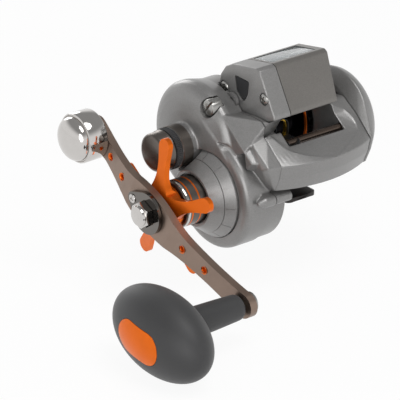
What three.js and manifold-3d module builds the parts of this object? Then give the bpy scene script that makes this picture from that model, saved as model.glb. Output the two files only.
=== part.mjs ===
// A low-profile multiplier reel with a line counter, in millimetres, +Z up.
// The spool turns about X, the crank is on the -X side, and the line leaves towards -Y.
// The origin is the middle of the foot's flat underside. Outlines are drawn in f and z,
// where f is the distance forward of the origin, so y = -f.
import * as THREE from 'three';
import { mergeVertices } from 'three/addons/utils/BufferGeometryUtils.js';
import { ConvexGeometry } from 'three/addons/geometries/ConvexGeometry.js';
import Module from 'manifold-3d';

const wasm = await Module();
wasm.setup();

// Clearances and small values that many pieces share
const seam = 0.3; // gap between two pieces that rest against each other
const runningFit = 0.1; // radial clearance of a turning fit
const overrun = 1; // how far a cut runs past the wall it opens
const beyond = 80; // past every piece, for cutters that open to the outside
const mergeTolerance = 0.00001;
const coarseSides = 10;
const sides = 18;
const fineSides = 32;
const coilSides = 5;
const coilSteps = 8;
const grooveSides = 3;
const nutSides = 6;

// Drive line: main shaft, main gear and pinion
const driveF = 16;
const driveZ = 7;
const gearModule = 0.6;
const driveTeeth = 56;
const pinionTeeth = 11;
const spoolDegrees = 126.87; // direction from the drive axis to the spool axis, degrees
const toothBacklashShare = 0.32;
const addendumShare = 0.75; // stub teeth, as shares of the module
const dedendumShare = 1.15;
const flankDegrees = 20;
const driveGearOuter = -26.9;
const driveGearInner = -23.5;
const mainShaftRadius = 2.6;
const mainShaftOuterEnd = -64;
const mainShaftInnerEnd = -16.2;
const journalRadius = 2;
const journalShoulder = -19.6;
const shaftCollarRadius = 3.6;
const shaftCollarOuter = -20.7;
const mainBearingRadius = 4;
const mainBearingOuter = -19.2;
const mainBearingInner = -16;
const mainBearingBoss = 5;

// Spool and its shaft
const spoolRadius = 15.5;
const spoolHalfWidth = 12;
const spoolArborRadius = 8.6;
const spoolWall = 1.5;
const spoolHubWall = 3;
const flangeThickness = 1.3;
const spoolShaftRadius = 1.9;
const spoolShaftLeft = -42.4;
const spoolShaftRight = 26.4;
const spoolBearingRadius = 4.2;
const spoolBearingWidth = 2.5;
const handleBearingOuter = -36.4;
const palmBearingInner = 22.4;

// Frame
const wallOuter = -21.5;
const wallInner = -14.4;
const webOuter = -15.6;
const rimWall = 1.7;
const wallSpoolRadius = 20.8;
const wallDriveRadius = 21;
const palmWallInner = 13;
const palmWallOuter = 20.6;
const palmWallRearRadius = 17.6;
const palmWallFrontRadius = 17.6;
const palmBoreRadius = 16.5;
const floorUnderside = 2.5;
const floorTop = 6.6;
const floorRear = -14;
const floorFront = 21;
const spoolTrough = 0.6; // clearance of the floor and the counter round the spool
const noseDepth = 26; // how far back the nose of each wall reaches
const bossRadius = 2.1;
const bossTipRadius = 0.7;
const bossRootRadius = 7; // the web from the boss widens to this at the drive axis
const bossF = 39;
const bossZ = 9.3;
const bossOuterEnd = -29;
const bossTipLength = 3;

// Foot
const footFront = 31;
const footRear = -30;
const footHalfWidth = 7;
const footTipRadius = 2.2;
const footBow = 1.2; // how far its front edge stands out in the middle
const footThickness = 2.2;
const rivetPlaces = [-9, 19];
const rivetRadius = 1.5;
const rivetTop = 5;

// Front hood, a bent sheet in front of the spool, as [f, z] points from its top to its lip
const hoodLine = [[22.8, 38], [29.2, 34.8], [35.3, 30.8], [39.6, 27], [43.6, 23.5], [42.4, 18.4], [39.9, 12.8]];
const hoodCrease = 4; // which of those points is the crease
const hoodThickness = 2.2;
const hoodLeft = -21.7;
const hoodStations = [-17, -9, 1, 7, 14]; // where the hood's sections lie between its ends
const hoodBulge = 5; // how far its front stands out in the middle
const hoodCrown = 1.6; // how far its upper faces stand out in the middle
const hoodBulgePower = 2;
const hoodRight = 20.6;
const hoodShoulder = 33.8; // how far back the hood reaches beside the horn
const mouthLeft = -14;
const mouthRight = 12.3;
const mouthSill = 38.6;
const mouthFloor = 24;

// Handle side cover, turned profiles as [x, radius]
const coverInner = -21.8;
const domeProfile = [[-21.8, 21.2], [-27, 22.4], [-29, 22.4], [-30.4, 21.7], [-32.3, 19.2], [-33.6, 14.5], [-34.2, 10]];
const capBossRadius = 8;
const capBossFace = -41;
const capNeckRadius = 5.4;
const capNeckEnd = -43.6;
const drumProfile = [[-21.8, 21.5], [-29.5, 21.5], [-30.9, 20.9], [-32, 19.8], [-32.5, 18.6]];
const bridgeSpoolRadius = 21;
const bridgeDriveRadius = 20.6;
const bridgeOuter = -29.8;
const bridgeInnerSpoolRadius = 17.2;
const ridgeF = 32.8;
const ridgeZ = 27.7;
const coverCavitySpool = 15.4;
const coverCavityDrive = 19.3;
const coverCavityOuter = -30.1;
const coverPinionWell = 4.6;
const coverPinionWellEnd = -31.2;
const bezelSeatGap = 0.4;
const bezelSeatDepth = 1.1;
const cheekOuter = -27;
const cheekLine = [[30.5, 31.2], [34.2, 30.4], [41.3, 23.3], [40.6, 19], [38.6, 14.6], [33, 13]];
const cheekInnerLine = [[29.2, 34.4], [35.3, 30.8], [43.6, 23.5], [42.4, 18.4], [39.9, 12.8], [33, 12]];

// Horn under the counter's end cap, as [x, f, z] corners
const hornEdgeStart = [-30, 19.6, 38.2];
const hornTip = [-30, 32.8, 27.7];
const hornInner = -14.4;
const hornTopRear = [8.4, 35.4];
const hornTopFront = [34.4, 37.4];
const hornRootF = 12;
const hornRootZ = 22;
const hornFootF = 26;
const hornFootZ = 24;

// Notch screw at the cover's upper rim
const notchScrewF = 14.4;
const notchScrewZ = 39.7;
const notchHeadRadius = 3.2;
const notchHeadOuter = -31.4;
const notchHeadThickness = 3.8;
const notchShankRadius = 1.4;
const notchShankEnd = -20.7;
const notchClear = 0.4;
const notchBossRadius = 3.2;
const screwSlotWidth = 0.8;
const screwSlotDepth = 0.7;

// Palm side plate: [x, inset] of its crown
const palmPlateInner = 20.9;
const palmRearRadius = 17.8;
const palmFrontF = 20;
const palmFrontZ = 23.7;
const palmFrontRadius = 20.4;
const palmCrown = [[24, 0.9], [27, 2], [29, 4], [30.6, 6.6], [31.8, 10]];
const palmRim = 1; // how far the hood's line is carried on
const palmPlateWall = 2.1;
const palmCavityEnd = 28.6;
const palmCavityInset = 4.4;
const palmBearingBoss = 6;
const palmBossInner = 22.2;

// Brake
const brakeDrumRadius = 12;
const brakeDrumWall = 1.2;
const brakeDrumLeft = 17.4;
const brakeHubRadius = 5.4;
const brakeHubLeft = 17;
const brakeHubRight = 20.8;
const brakeArms = 6;
const brakeArmRadius = 0.7;
const brakeArmRoot = 3;
const brakeArmReach = 10.2;

// Line counter, its outline as [f, z] points
const counterOutline = [
  [7.6, 36.4], [15.5, 34.7], [23.7, 35.2], [31.2, 36.3], [37.6, 39], [37, 40.6],
  [28.7, 55.2], [27, 55.9], [13.2, 53.5], [9.4, 51.4], [6.6, 47.6], [5.6, 43], [5.8, 39],
];
const counterLeft = -20;
const counterSeam = -12.5;
const counterTopRight = 12;
const counterLowRight = 8.6;
const counterWall = 1.6;
const capEndWall = 1.2;
const windowLeft = -11;
const windowRight = 9.2;
const windowRearF = 14.4;
const windowFrontF = 23.2;
const windowThickness = 1;
const windowSunk = 0.3;
const counterScrewRear = [8.8, 43.2];
const counterScrewFront = [31.3, 45.4];
const counterScrewHeadRadius = 2.1;
const counterScrewHeadOuter = -20.4;
const counterScrewHeadInner = -19.4;
const counterScrewShank = 0.9;
const counterScrewEnd = -11.6;
const counterScrewPost = 1.9;

// Number wheels and the reset button
const wheelAxleRadius = 1;
const wheelAxleLeft = -18.1;
const wheelAxleRight = 9;
const wheelRadius = 5.3;
const wheelWidth = 5;
const wheelStarts = [-9.4, -3.9, 1.6];
const wheelFacets = 20;
const buttonOutline = [[15.2, 49.4], [22.6, 49.2], [22, 44.4], [20, 41], [16.2, 44]];
const buttonOuter = -19.8;
const buttonInner = -18.3;
const buttonFlange = 0.8;
const buttonFlangeOuter = -18.6;
const buttonRecess = 2.6;
const buttonRecessFloor = -19;
const resetSpringRadius = 1.9;
const resetSpringWire = 0.3;
const resetSpringTurns = 2;

// Level wind and counter gearing
const levelModule = 0.5;
const spoolGearTeeth = 20;
const idlerTeeth = 36;
const wormGearTeeth = 24;
const counterIdlerTeeth = 24;
const counterGearTeeth = 16;
const smallGearOuter = -17;
const smallGearInner = -15.9;
const smallGearBore = 1.3;
const stubRadius = 1.2;
const stubOuter = -17.3;
const wormDegrees = -6.1; // direction from the spool axis to the worm axis, degrees
const counterDegrees = 87.4; // direction from the idler axis to the wheel axle, degrees
const wormRadius = 1.9;
const wormGrooveDepth = 0.5;
const wormGrooveWidth = 0.9;
const wormTurns = 3;
const wormStepsPerTurn = 6;
const wormJournal = 1.1;
const wormTubeInner = 2.4;
const wormTubeOuter = 3.2;
const wormTubeSlot = 1.9;
const wormRightEnd = 14.6;
const wormBoss = 3.2;
const railF = 35.4;
const railZ = 27.5;
const railRadius = 1.4;
const railLeft = -15.2;
const railRight = 14.2;
const guideStart = -10.8;
const guideHalfWidth = 2.6;
const guideBodyRadius = 4.6;
const guideRailRadius = 2.5;
const guideStemRadius = 2.3;
const ringF = 29.4;
const ringZ = 31;
const ringHalfHeight = 3.3;
const ringHalfWidth = 2.1;
const ringWire = 0.55;
const ringHalfDepth = 2.6;
const ringCollar = 0.35;
const pawlRadius = 1.2;
const pawlLength = 3.4;
const pawlCapRadius = 1.8;
const pawlCapLength = 0.9;

// Thumb bar behind the spool
const thumbUpperDegrees = 151.8; // directions of the bar's edges from the spool axis
const thumbLowerDegrees = 172.75;
const thumbUpperGap = 1.73; // clearances of the bar's edges from the spool
const thumbLowerGap = 1.29;
const thumbUpperRadius = 1.2;
const thumbLowerRadius = 1.6;
const thumbPinRadius = 0.9;
const thumbPinReach = 1.1;
const thumbTravel = 4;

// Clutch yoke and its springs
const yokeOuter = -20.9;
const yokeInner = -20.1;
const yokeSpread = 8.6;
const yokeDegrees = 37; // direction of the upper post from the spool axis, degrees
const yokeEndRadius = 2.4;
const yokeMiddleRadius = 4.6;
const yokePostRadius = 0.9;
const yokePostEnd = -20;
const yokeSpringRadius = 1.6;
const yokeSpringWire = 0.4;
const yokeSpringTurns = 4;
const yokeSpringSeat = -28.6;
const yokeSeatRadius = 2.3;
const pinionOuter = -29;
const pinionTeethInner = -21.3;
const pinionGrooveRadius = 2.5;
const pinionGrooveInner = -19.7;
const pinionFlangeRadius = 3.2;
const pinionInner = -18.9;

// Anti-reverse
const ratchetOuter = -22.4;
const ratchetInner = -21.2;
const ratchetRadius = 6.6;
const ratchetToothDepth = 1.3;
const ratchetTeeth = 10;
const ratchetUndercutDegrees = 4;
const dogPivotF = 28;
const dogPivotZ = 11;
const dogPivotRadius = 2;
const dogPinRadius = 0.9;
const dogTipF = 23.6;
const dogTipZ = 8.5;
const dogTipRadius = 0.6;

// Drag stack on the main gear
const dragRecessRadius = 12.4;
const dragRecessDepth = 2.2;
const washerRadius = 12;
const washerThickness = 0.7;
const washerGap = 0.15;
const sleeveRadius = 4.4;
const sleeveOuter = -47.4;
const springWasherRadius = 5.6;
const springWasherOuter = -49.8;
const springWasherDish = 0.8;

// Bezel, roller clutch and collar
const bezelRadius = 16.6;
const bezelProfile = [[-41, 10.1], [-36.4, 13.9], [-33.4, bezelRadius], [-31.7, bezelRadius]];
const bezelMouthRadius = 9.5;
const bezelMouthDepth = 2.4;
const clutchRadius = 8;
const clutchOuter = -38.2;
const clutchInner = -31.9;
const collarOuter = -49.9;
const collarInner = -39;
const collarRadius = 8.9;
const collarWall = 1.5;
const collarGrooveDepth = 0.3;
const collarGrooveWidth = 0.7;
const collarGroovePlaces = [-47.2, -43.6];

// Star drag
const starHubOuter = -57;
const starHubInner = -50.6;
const starHubRadius = 8.5;
const starArms = 5;
const starArmDegrees = 20.5; // direction of the first arm above forward, degrees
const starArmPlaces = [5, 13.5, 20.5, 23.4];
const starArmRadii = [3.6, 2, 2.4, 2.8];
const starArmOuter = -56.8;
const starArmInner = -54.6;
const starArmSweep = 4;

// Crank arm, nut and counterweight; places along the arm are positive towards the knob
const crankDegrees = 25; // slope of the arm below forward, degrees
const crankPlaces = [-41.5, -29, -18, 0, 19, 31, 42, 50.4];
const crankHalfWidths = [6.2, 4, 5, 7.9, 4.9, 4.1, 4.2, 5];
const crankFront = [[-50, -56.7], [-34, -56.7], [-12, -60.5], [12, -60.5], [51, -55], [60, -54]];
const crankThickness = 3;
const crankBlankOuter = -90; // the arm is cut from a blank between these
const crankBlankInner = -40;
const crankHolePlaces = [-28.5, -18.5, 19.5, 31];
const crankHoleRadius = 1.3;
const retainerRadius = 7.9;
const retainerOuter = -62.1;
const retainerInner = -60.8;
const retainerLugPlace = -8.2;
const retainerLugRadius = 2.6;
const retainerScrewRadius = 1.7;
const retainerScrewHead = 0.6;
const retainerScrewShank = 0.7;
const nutHexRadius = 5.1;
const nutHexOuter = -65;
const nutTipRadius = 3.9;
const nutTipOuter = -66.2;
const weightPlace = -41.5;
const weightInner = -57;
const weightProfile = [[-70.1, 2], [-69.4, 4.8], [-68.1, 7], [-66.6, 8.3], [-65.4, 8.7], [-65.1, 9.5], [-57.4, 9.5], [-57, 9.1]];
const weightStudRadius = 1.8;
const weightStudEnd = -53.9;

// Knob
const knobPlace = 50.4;
const knobDegrees = 17; // long axis against the arm, degrees
const knobMiddle = -90;
const knobHalfLong = 24;
const knobHalfWide = 15.5;
const knobHalfDeep = 12.6;
const knobStemProfile = [[-84, 8.2], [-80.5, 6.2], [-77, 5.5], [-57.4, 4.8], [-56.6, 4.4]];
const knobStemInner = -56.2;
const knobBoreRadius = 3.4;
const spindleRadius = 2;
const spindleHeadRadius = 3.9;
const spindleHeadInner = -50;
const spindleHeadOuter = -51.6;
const spindleEnd = -92;
const retainingRadius = 3.1;
const retainingHead = 1.3;
const bushingLength = 5;
const bushingInner = -60;
const inlayLength = 21.5;
const inlayWidth = 12.5;
const inlayOuter = -102.6;
const inlayInner = -100.6;

// Cast control cap, turned profile as [x, radius]
const castProfile = [[-49.7, 5.8], [-49.3, 6.6], [-47.6, 7.1], [-44.3, 7.5], [-44, 6.6], [-41.3, 6.6]];
const castBoreRadius = 5.7;
const castBoreEnd = -45.6;
const gripOuter = -43.7;
const gripInner = -41.3;
const gripRadius = 7.8;
const gripTeeth = 32;
const gripToothDepth = 0.4;
const gripBore = 6.9;

// Values that follow from the ones above
const halfTurn = 180;
const degrees = Math.PI / halfTurn;
const gearCentres = (gearModule * (driveTeeth + pinionTeeth)) / 2;
const centres = (a, b) => (levelModule * (a + b)) / 2;
const stepFrom = ([f, z], distance, turn) =>
  [f + distance * Math.cos(turn * degrees), z + distance * Math.sin(turn * degrees)];
const driveAxis = [driveF, driveZ];
const spoolAxis = stepFrom(driveAxis, gearCentres, spoolDegrees);
const idlerAxis = stepFrom(spoolAxis, centres(spoolGearTeeth, idlerTeeth), wormDegrees);
const wormAxis = stepFrom(idlerAxis, centres(idlerTeeth, wormGearTeeth), wormDegrees);
const counterIdlerAxis = stepFrom(idlerAxis, centres(idlerTeeth, counterIdlerTeeth), counterDegrees);
const wheelAxis = stepFrom(counterIdlerAxis, centres(counterIdlerTeeth, counterGearTeeth), counterDegrees);
const gearTip = (teeth) => levelModule * (teeth / 2 + 1);

// Finishes
const finish = (color, roughness, metalness) =>
  new THREE.MeshStandardMaterial({ color, roughness, metalness });
const greyPaint = finish('#8d8b87', 0.45, 0.6);
const darkGrey = finish('#5d5853', 0.35, 0.8);
const blackSteel = finish('#2c2a29', 0.4, 0.7);
const steel = finish('#a9a8a5', 0.3, 0.9);
const brass = finish('#b58f4a', 0.35, 0.9);
const chrome = finish('#c9c7c5', 0.12, 1);
const orangeAnodised = finish('#e0701d', 0.35, 0.7);
const bronzeAnodised = finish('#7d6a5e', 0.38, 0.8);
const goldRing = finish('#c9a13c', 0.25, 0.9);
const blackRubber = finish('#303133', 0.75, 0);
const blackPlastic = finish('#1f2022', 0.5, 0);
const whitePlastic = finish('#e9e7e0', 0.5, 0);
const clearPlastic = finish('#cdd3d6', 0.1, 0);
const carbon = finish('#26282b', 0.7, 0);

// Corner matrices: the first extrudes an f-z outline towards -X, the second an f-x outline up Z
const towardsMinusX = (x) => new THREE.Matrix4().set(0, 0, -1, x, -1, 0, 0, 0, 0, 1, 0, 0, 0, 0, 0, 1);
const downZ = (z) => new THREE.Matrix4().set(1, 0, 0, 0, 0, -1, 0, 0, 0, 0, -1, z, 0, 0, 0, 1);

// A closed geometry as a solid that can be joined and cut, with its faces outwards
function solid(geometry) {
  const bare = geometry.index ? geometry.toNonIndexed() : geometry.clone();
  bare.deleteAttribute('normal');
  bare.deleteAttribute('uv');
  const merged = mergeVertices(bare, mergeTolerance);
  const index = merged.index.array;
  const corner = (i) => new THREE.Vector3().fromBufferAttribute(merged.attributes.position, i);
  const triangles = [];
  let volume = 0;
  for (let i = 0; i < index.length; i += 3) {
    const [a, b, c] = [index[i], index[i + 1], index[i + 2]];
    if (a === b || b === c || c === a) continue;
    triangles.push(a, b, c);
    volume += corner(a).dot(corner(b).cross(corner(c)));
  }
  if (volume < 0) triangles.reverse();
  return new wasm.Manifold(new wasm.Mesh({
    numProp: 3,
    vertProperties: new Float32Array(merged.attributes.position.array),
    triVerts: new Uint32Array(triangles),
  }));
}

const join = (...pieces) => pieces.reduce((whole, piece) => whole.add(piece));
const cut = (body, ...tools) => tools.reduce((left, tool) => left.subtract(tool), body);

function toGeometry(body) {
  const mesh = body.getMesh();
  const geometry = new THREE.BufferGeometry();
  const places = new Float32Array(mesh.numVert * 3);
  for (let i = 0; i < mesh.numVert; i++) {
    for (let k = 0; k < 3; k++) places[3 * i + k] = mesh.vertProperties[mesh.numProp * i + k];
  }
  geometry.setAttribute('position', new THREE.BufferAttribute(places, 3));
  geometry.setIndex(new THREE.BufferAttribute(new Uint32Array(mesh.triVerts), 1));
  geometry.computeVertexNormals();
  return geometry;
}

const outline = (pairs) => pairs.map(([a, b]) => new THREE.Vector2(a, b));

function circlePoints([f, z], radius, count = coarseSides) {
  return Array.from({ length: count }, (_, i) => {
    const turn = (2 * Math.PI * i) / count;
    return new THREE.Vector2(f + radius * Math.cos(turn), z + radius * Math.sin(turn));
  });
}

const turnsLeft = (a, b, c) => (b.x - a.x) * (c.y - a.y) - (b.y - a.y) * (c.x - a.x) > 0;

// The convex outline round a set of points
function convexOutline(points) {
  const sorted = [...points].sort((a, b) => a.x - b.x || a.y - b.y);
  const half = (list) => {
    const chain = [];
    for (const point of list) {
      while (chain.length > 1 && !turnsLeft(chain.at(-2), chain.at(-1), point)) chain.pop();
      chain.push(point);
    }
    chain.pop();
    return chain;
  };
  return [...half(sorted), ...half([...sorted].reverse())];
}

// The outline of a belt round circles given as [axis, radius]
const beltOutline = (circles, count = fineSides) =>
  convexOutline(circles.flatMap(([axis, radius]) => circlePoints(axis, radius, count)));

// An open line moved to its right-hand side by a distance
function offsetLine(pairs, distance) {
  const normals = pairs.slice(1).map(([f, z], i) => {
    const [along, up] = [f - pairs[i][0], z - pairs[i][1]];
    const length = Math.hypot(along, up);
    return [up / length, -along / length];
  });
  return pairs.map(([f, z], i) => {
    const [a, b] = [normals[Math.max(i - 1, 0)], normals[Math.min(i, normals.length - 1)]];
    const scale = distance / (1 + a[0] * b[0] + a[1] * b[1]);
    return [f + scale * (a[0] + b[0]), z + scale * (a[1] + b[1])];
  });
}

// A closed convex outline, drawn counter-clockwise, moved inwards by a distance
function inset(pairs, distance) {
  const ringed = [pairs.at(-1), ...pairs, pairs[0]];
  return offsetLine(ringed, -distance).slice(1, -1);
}

function prism(points, x0, x1, extra = new THREE.Matrix4()) {
  const depth = x1 - x0;
  const geometry = new THREE.ExtrudeGeometry(new THREE.Shape(points), { depth, bevelEnabled: false });
  return solid(geometry.applyMatrix4(towardsMinusX(x1)).applyMatrix4(extra));
}

function slab(points, z0, z1) {
  const depth = z1 - z0;
  const geometry = new THREE.ExtrudeGeometry(new THREE.Shape(points), { depth, bevelEnabled: false });
  return solid(geometry.applyMatrix4(downZ(z1)));
}

// A box from its low to its high corner, both as [x, f, z]
function block([x0, f0, z0], [x1, f1, z1]) {
  const geometry = new THREE.BoxGeometry(x1 - x0, f1 - f0, z1 - z0);
  geometry.translate((x0 + x1) / 2, -(f0 + f1) / 2, (z0 + z1) / 2);
  return solid(geometry);
}

// A turned solid about an axis along X, from [x, radius] pairs that run towards +X
function turned(profile, [f, z] = [0, 0], count = sides) {
  const ends = [[profile[0][0], 0], ...profile, [profile.at(-1)[0], 0]];
  const points = ends.map(([x, radius]) => new THREE.Vector2(radius, x));
  const geometry = new THREE.LatheGeometry(points, count);
  geometry.rotateZ(-Math.PI / 2);
  geometry.translate(0, -f, z);
  return solid(geometry);
}

const rod = (x0, x1, radius, axis, count = sides) => turned([[x0, radius], [x1, radius]], axis, count);

// The radius of a bore whose flats clear a shaft, whatever way the two are turned
const clearOf = (radius, count = coarseSides) => (radius + runningFit) / Math.cos(Math.PI / count);

const ring = (x0, x1, inner, outer, axis, count = sides) =>
  cut(rod(x0, x1, outer, axis, count), rod(x0 - overrun, x1 + overrun, inner, axis, count));

// The convex body round points given as [x, f, z]
const hull = (corners) => solid(new ConvexGeometry(corners.map(([x, f, z]) => new THREE.Vector3(x, -f, z))));

const hoop = (x, axis, radius) => circlePoints(axis, radius, fineSides).map((point) => [x, point.x, point.y]);

// A skin through outlines given as [x, pairs], all with as many points, closed at both ends
function loft(drawn) {
  const clockwise = THREE.ShapeUtils.area(outline(drawn[0][1])) < 0;
  const sections = drawn.map(([x, pairs]) => [x, clockwise ? pairs.toReversed() : pairs]);
  const [first, last] = [sections[0], sections.at(-1)];
  const count = first[1].length;
  const places = sections.flatMap(([x, pairs]) => pairs.flatMap(([f, z]) => [x, -f, z]));
  const index = [];
  for (let s = 0; s + 1 < sections.length; s++) {
    for (let i = 0; i < count; i++) {
      const [a, b] = [s * count + i, s * count + ((i + 1) % count)];
      index.push(a, a + count, b, b, a + count, b + count);
    }
  }
  for (const [section, start] of [[first, 0], [last, (sections.length - 1) * count]]) {
    for (const [a, b, c] of THREE.ShapeUtils.triangulateShape(outline(section[1]), [])) {
      const face = [a + start, b + start, c + start];
      index.push(...(start === 0 ? face : face.reverse()));
    }
  }
  const geometry = new THREE.BufferGeometry();
  geometry.setAttribute('position', new THREE.BufferAttribute(new Float32Array(places), 3));
  geometry.setIndex(index);
  return solid(geometry);
}

// Plates between neighbouring circles along a line
function chain(places, radii, x0, x1, extra) {
  const links = places.slice(1).map((place, i) => {
    const ends = [[[places[i], 0], radii[i]], [[place, 0], radii[i + 1]]];
    return prism(beltOutline(ends, coarseSides), x0, x1, extra);
  });
  return join(...links);
}

// A spur gear outline with straight flanks and a tooth in the start direction
function gearOutline(teeth, module, start) {
  const pitch = (module * teeth) / 2;
  const addendum = addendumShare * module;
  const dedendum = dedendumShare * module;
  const halfTooth = (Math.PI * module * (1 - toothBacklashShare)) / 4;
  const flank = Math.tan(flankDegrees * degrees);
  const points = [];
  for (let i = 0; i < teeth; i++) {
    const middle = start * degrees + (2 * Math.PI * i) / teeth;
    const corners = [
      [pitch - dedendum, -(halfTooth + dedendum * flank)],
      [pitch + addendum, -(halfTooth - addendum * flank)],
      [pitch + addendum, halfTooth - addendum * flank],
      [pitch - dedendum, halfTooth + dedendum * flank],
    ];
    for (const [radius, across] of corners) {
      const turn = middle + across / radius;
      points.push(new THREE.Vector2(radius * Math.cos(turn), radius * Math.sin(turn)));
    }
  }
  return points;
}

// The start direction that puts a gap of the follower opposite a tooth of its driver
function meshedStart(driverTeeth, driverStart, followerTeeth, direction) {
  const driverPitch = (2 * halfTurn) / driverTeeth;
  const past = (((direction - driverStart) % driverPitch) + driverPitch) % driverPitch;
  return direction + halfTurn + ((2 * past) / driverPitch + 1) * (halfTurn / followerTeeth);
}

// A coil along X as one tube
function coil(x0, x1, radius, wire, turns) {
  const steps = turns * coilSteps;
  const points = Array.from({ length: steps + 1 }, (_, i) => {
    const turn = (2 * Math.PI * i) / coilSteps;
    const x = x0 + wire / 2 + ((x1 - x0 - wire) * i) / steps;
    return new THREE.Vector3(x, radius * Math.cos(turn), radius * Math.sin(turn));
  });
  const path = new THREE.CatmullRomCurve3(points);
  const section = new THREE.Shape(circlePoints([0, 0], wire / 2, coilSides));
  return solid(new THREE.ExtrudeGeometry(section, { steps, extrudePath: path, bevelEnabled: false }));
}

// Start directions of the small gears, each meshed with the one before it
const spoolGearStart = 0;
const idlerStart = meshedStart(spoolGearTeeth, spoolGearStart, idlerTeeth, wormDegrees);
const wormStart = meshedStart(idlerTeeth, idlerStart, wormGearTeeth, wormDegrees);
const counterIdlerStart = meshedStart(idlerTeeth, idlerStart, counterIdlerTeeth, counterDegrees);
const counterStart = meshedStart(counterIdlerTeeth, counterIdlerStart, counterGearTeeth, counterDegrees);

const reel = new THREE.Group();

function group(parent, [f, z], x = 0) {
  const made = new THREE.Group();
  made.position.set(x, -f, z);
  parent.add(made);
  return made;
}

function add(name, body, material, parent = reel) {
  const mesh = new THREE.Mesh(toGeometry(body), material);
  mesh.name = name;
  parent.add(mesh);
}

const driveLine = group(reel, driveAxis);
const crank = group(driveLine, [0, 0]);
crank.rotation.x = crankDegrees * degrees;
const weightLine = group(crank, [weightPlace, 0]);
const knobLine = group(crank, [knobPlace, 0]);
const spoolLine = group(reel, spoolAxis);
const guideLine = group(reel, [0, 0], guideStart);

// Shared cutters
const counterPoints = outline(counterOutline);
const counterSpace = prism(outline(inset(counterOutline, -seam)), counterLeft - seam, hoodRight + overrun);
const gearSpace = (axis, teeth) =>
  rod(smallGearOuter - seam, webOuter, gearTip(teeth) + seam, axis);
const headSeats = [counterScrewRear, counterScrewFront].map((axis) =>
  rod(counterLeft - overrun, counterScrewHeadInner + seam / 2, counterScrewHeadRadius + seam, axis, coarseSides));
const middleShare = (x) => {
  const share = (2 * x - hoodRight - hoodLeft) / (hoodRight - hoodLeft);
  return Math.max(1 - share ** hoodBulgePower, 0);
};
// The upper faces swell a little, while the crease and the lower face go forward
const hoodLineAt = (depth, x = hoodLeft) => {
  const upper = offsetLine(hoodLine, -hoodCrown * middleShare(x)).slice(0, hoodCrease);
  const lower = hoodLine.slice(hoodCrease).map(([f, z]) => [f + hoodBulge * middleShare(x), z]);
  return offsetLine([...upper, ...lower], depth);
};
const hoodSections = (left, shape) =>
  [left, ...hoodStations.filter((x) => x > left), hoodRight].map((x) => [x, shape((depth) => hoodLineAt(depth, x))]);
const noseOutline = [...hoodLineAt(hoodThickness + seam), [floorFront, floorUnderside], [noseDepth - hoodThickness, noseDepth]];
const handleBelt = [[spoolAxis, wallSpoolRadius], [driveAxis, wallDriveRadius]];
const inner = (belt, wall) => belt.map(([axis, radius]) => [axis, radius - wall]);
const palmBelt = [[spoolAxis, palmWallRearRadius], [[palmFrontF, palmFrontZ], palmWallFrontRadius]];

// Horn: the part of the body that rises to the counter's end cap
const horn = hull([
  hornEdgeStart, hornTip,
  [counterLeft - seam, ...hornTopRear], [counterLeft - seam, ...hornTopFront],
  [hornInner, ...hornTopRear], [hornInner, ...hornTopFront],
  [bridgeOuter, hornRootF, hornRootZ], [hornInner, hornRootF, hornRootZ], [hornInner, hornFootF, hornFootZ],
  [bridgeOuter, hornFootF, hornFootZ],
]);
const frameSide = block([wallOuter, -beyond, -beyond], [wallInner, beyond, beyond]);
const thumbUpper = stepFrom(spoolAxis, spoolRadius + thumbUpperGap + thumbUpperRadius, thumbUpperDegrees);
const thumbLower = stepFrom(spoolAxis, spoolRadius + thumbLowerGap + thumbLowerRadius, thumbLowerDegrees);
const [thumbLowerF, thumbLowerZ] = thumbLower;
const thumbTurn = Math.atan2(thumbUpper[0] - thumbLowerF, thumbUpper[1] - thumbLowerZ);
const slotLow = [thumbLowerF - thumbTravel * Math.sin(thumbTurn), thumbLowerZ - thumbTravel * Math.cos(thumbTurn)];
const thumbSlot = beltOutline(
  [[thumbLower, thumbPinRadius + seam], [slotLow, thumbPinRadius + seam]], coarseSides);

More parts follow.
